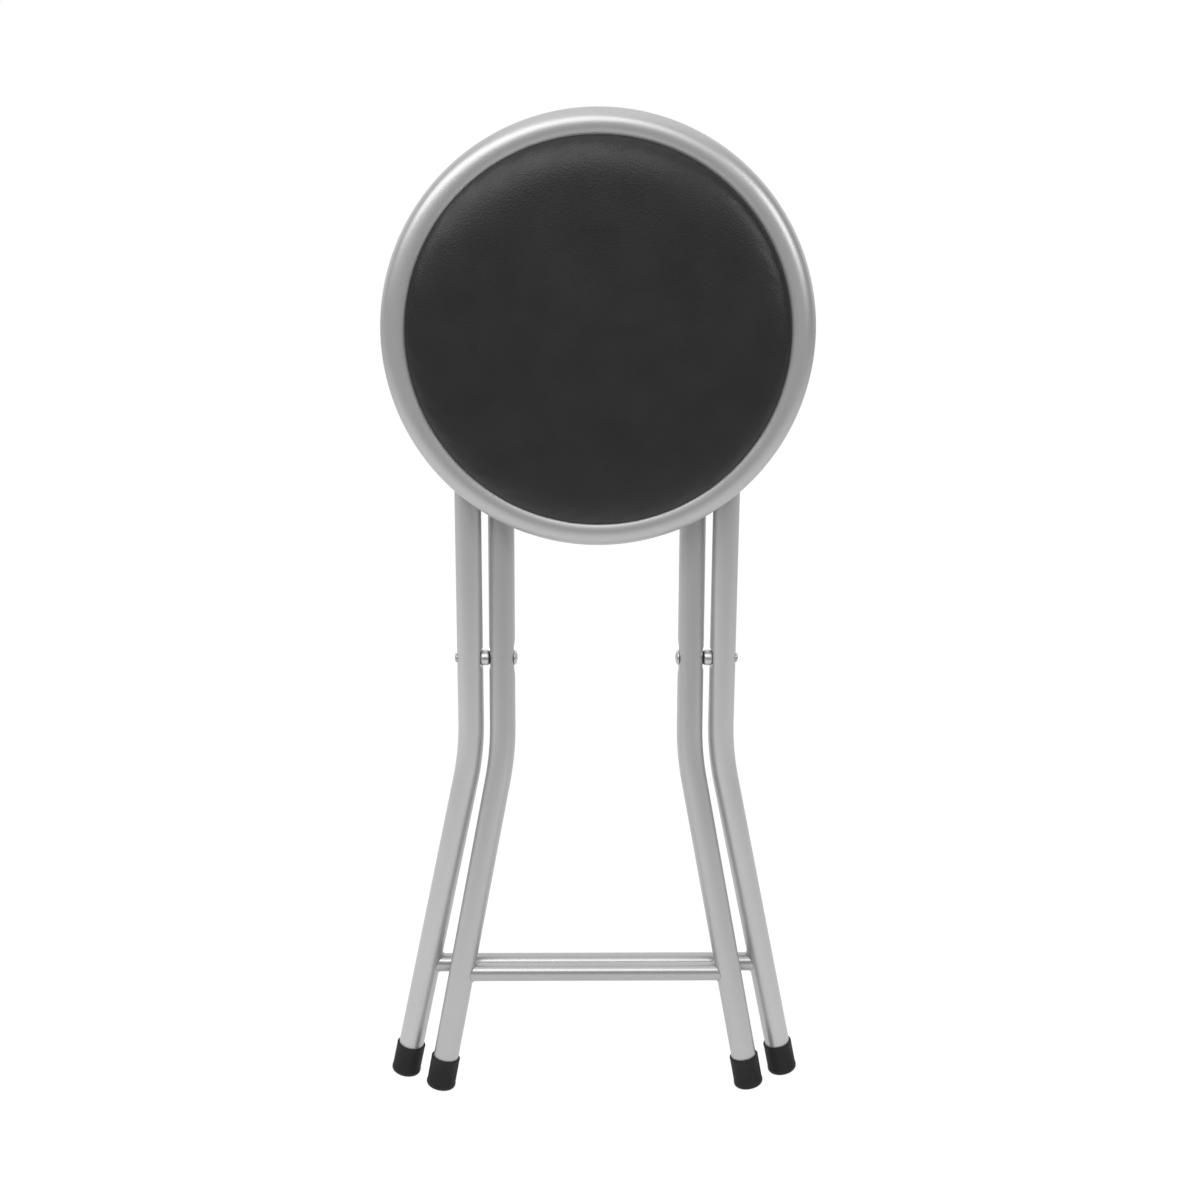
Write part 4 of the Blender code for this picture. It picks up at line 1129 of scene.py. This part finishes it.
def make_camera():
    """The photograph's camera: a little above the seat, tipped down, and turned and rolled slightly."""
    level = math.cos(CAMERA_PITCH)
    forward = Vector((math.sin(CAMERA_YAW) * level, math.cos(CAMERA_YAW) * level, -math.sin(CAMERA_PITCH)))
    level_right = forward.cross(Vector((0.0, 0.0, 1.0))).normalized()
    level_up = level_right.cross(forward)
    right = level_right * math.cos(CAMERA_ROLL) + level_up * math.sin(CAMERA_ROLL)
    up = level_up * math.cos(CAMERA_ROLL) - level_right * math.sin(CAMERA_ROLL)
    data = bpy.data.cameras.new("camera")
    data.sensor_width = SENSOR
    data.lens = FOCAL_PIXELS / IMAGE_PIXELS * SENSOR
    data.clip_start = 0.01
    data.clip_end = 100.0
    camera = bpy.data.objects.new("camera", data)
    bpy.context.scene.collection.objects.link(camera)
    turn = Matrix((right, up, -forward)).transposed().to_4x4()
    camera.matrix_world = Matrix.Translation(CAMERA_PLACE) @ turn
    bpy.context.scene.camera = camera


def body_places(frame):
    """Where the outer frame's, the inner frame's and the seat's own axes lie."""
    joints = {joint["name"]: joint for joint in frame["joints"]}
    pivot = Matrix.Translation(joints["frame_fold"]["pos_m"])
    outer = pivot @ Matrix.Rotation(FOLDED_HALF_ANGLE, 4, "X")
    inner = pivot @ Matrix.Rotation(-FOLDED_HALF_ANGLE, 4, "X")
    hinge = Matrix.Translation((0.0, 0.0, PIVOT_TO_TOP))
    seat = outer @ hinge @ Matrix.Rotation(math.pi / 2 - FOLDED_HALF_ANGLE, 4, "X")
    return outer, inner, seat


def main():
    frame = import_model()
    outer, inner, seat = body_places(frame)

    paint = silver_paint("silver_paint", PAINT_TONE, PAINT_ROUGHNESS, PAINT_PEEL)
    # Painted light: a lighter copy of the paint for the outer legs.
    lit_outer_paint = silver_paint("silver_paint_outer_lit", LIT_OUTER_PAINT_TONE, PAINT_ROUGHNESS, PAINT_PEEL)
    # Painted shade: a darker copy of the paint for the bars.
    shaded_bar_paint = silver_paint("silver_paint_bars_shaded", SHADED_BAR_PAINT_TONE, BAR_PAINT_ROUGHNESS, BAR_PAINT_PEEL)
    steel = bright_steel()
    zinc = zinc_plate()
    rubber = black_rubber()
    plastic = black_plastic()
    vinyl = black_vinyl(seat @ (SEAT_CENTRE + Vector((0.0, 0.0, RING_TUBE / 2))))
    board = fibreboard()

    inner_tube(inner, paint)
    crossbar("inner_crossbar", INNER_LEG, inner, shaded_bar_paint, "inner_frame")
    crossbar("outer_crossbar", OUTER_LEG, outer, shaded_bar_paint, "outer_frame")
    for label, side in SIDES:
        outer_leg(label, side, outer, lit_outer_paint)
        foot_cap("outer", OUTER_LEG, label, side, outer, rubber, "outer_frame")
        foot_cap("inner", INNER_LEG, label, side, inner, rubber, "inner_frame")
        pivot_fittings(label, side, outer, steel, plastic)
        hinge_rivet(label, side, seat, steel)
        seed = 4.0 + 3.0 * side
        weld_bead(f"outer_weld_{label}", OUTER_LEG, side, outer, paint, "outer_frame", seed)
        weld_bead(f"inner_weld_{label}", INNER_LEG, side, inner, paint, "inner_frame", seed + 1.0)
        dress_node(frame, f"hinge_bracket_{label}", zinc, EASED_METAL)
        dress_node(frame, f"catch_{label}", plastic, EASED_NYLON)

    seat_ring(seat, paint)
    seat_pad(seat, vinyl)
    hem_staples(seat, zinc)
    tab_welds(seat, paint)
    screws(seat, zinc)
    dress_node(frame, "seat_board", board, 0.0)
    for number in range(1, len(TAB_ANGLES) + 1):
        dress_node(frame, f"ring_tab_{number}", paint, EASED_METAL)

    make_floor()
    make_world()
    make_lamp("softbox_left", *SOFTBOX_LEFT)
    make_lamp("softbox_right", *SOFTBOX_RIGHT)
    make_camera()

    scene = bpy.context.scene
    scene.view_settings.view_transform = "Standard"


main()
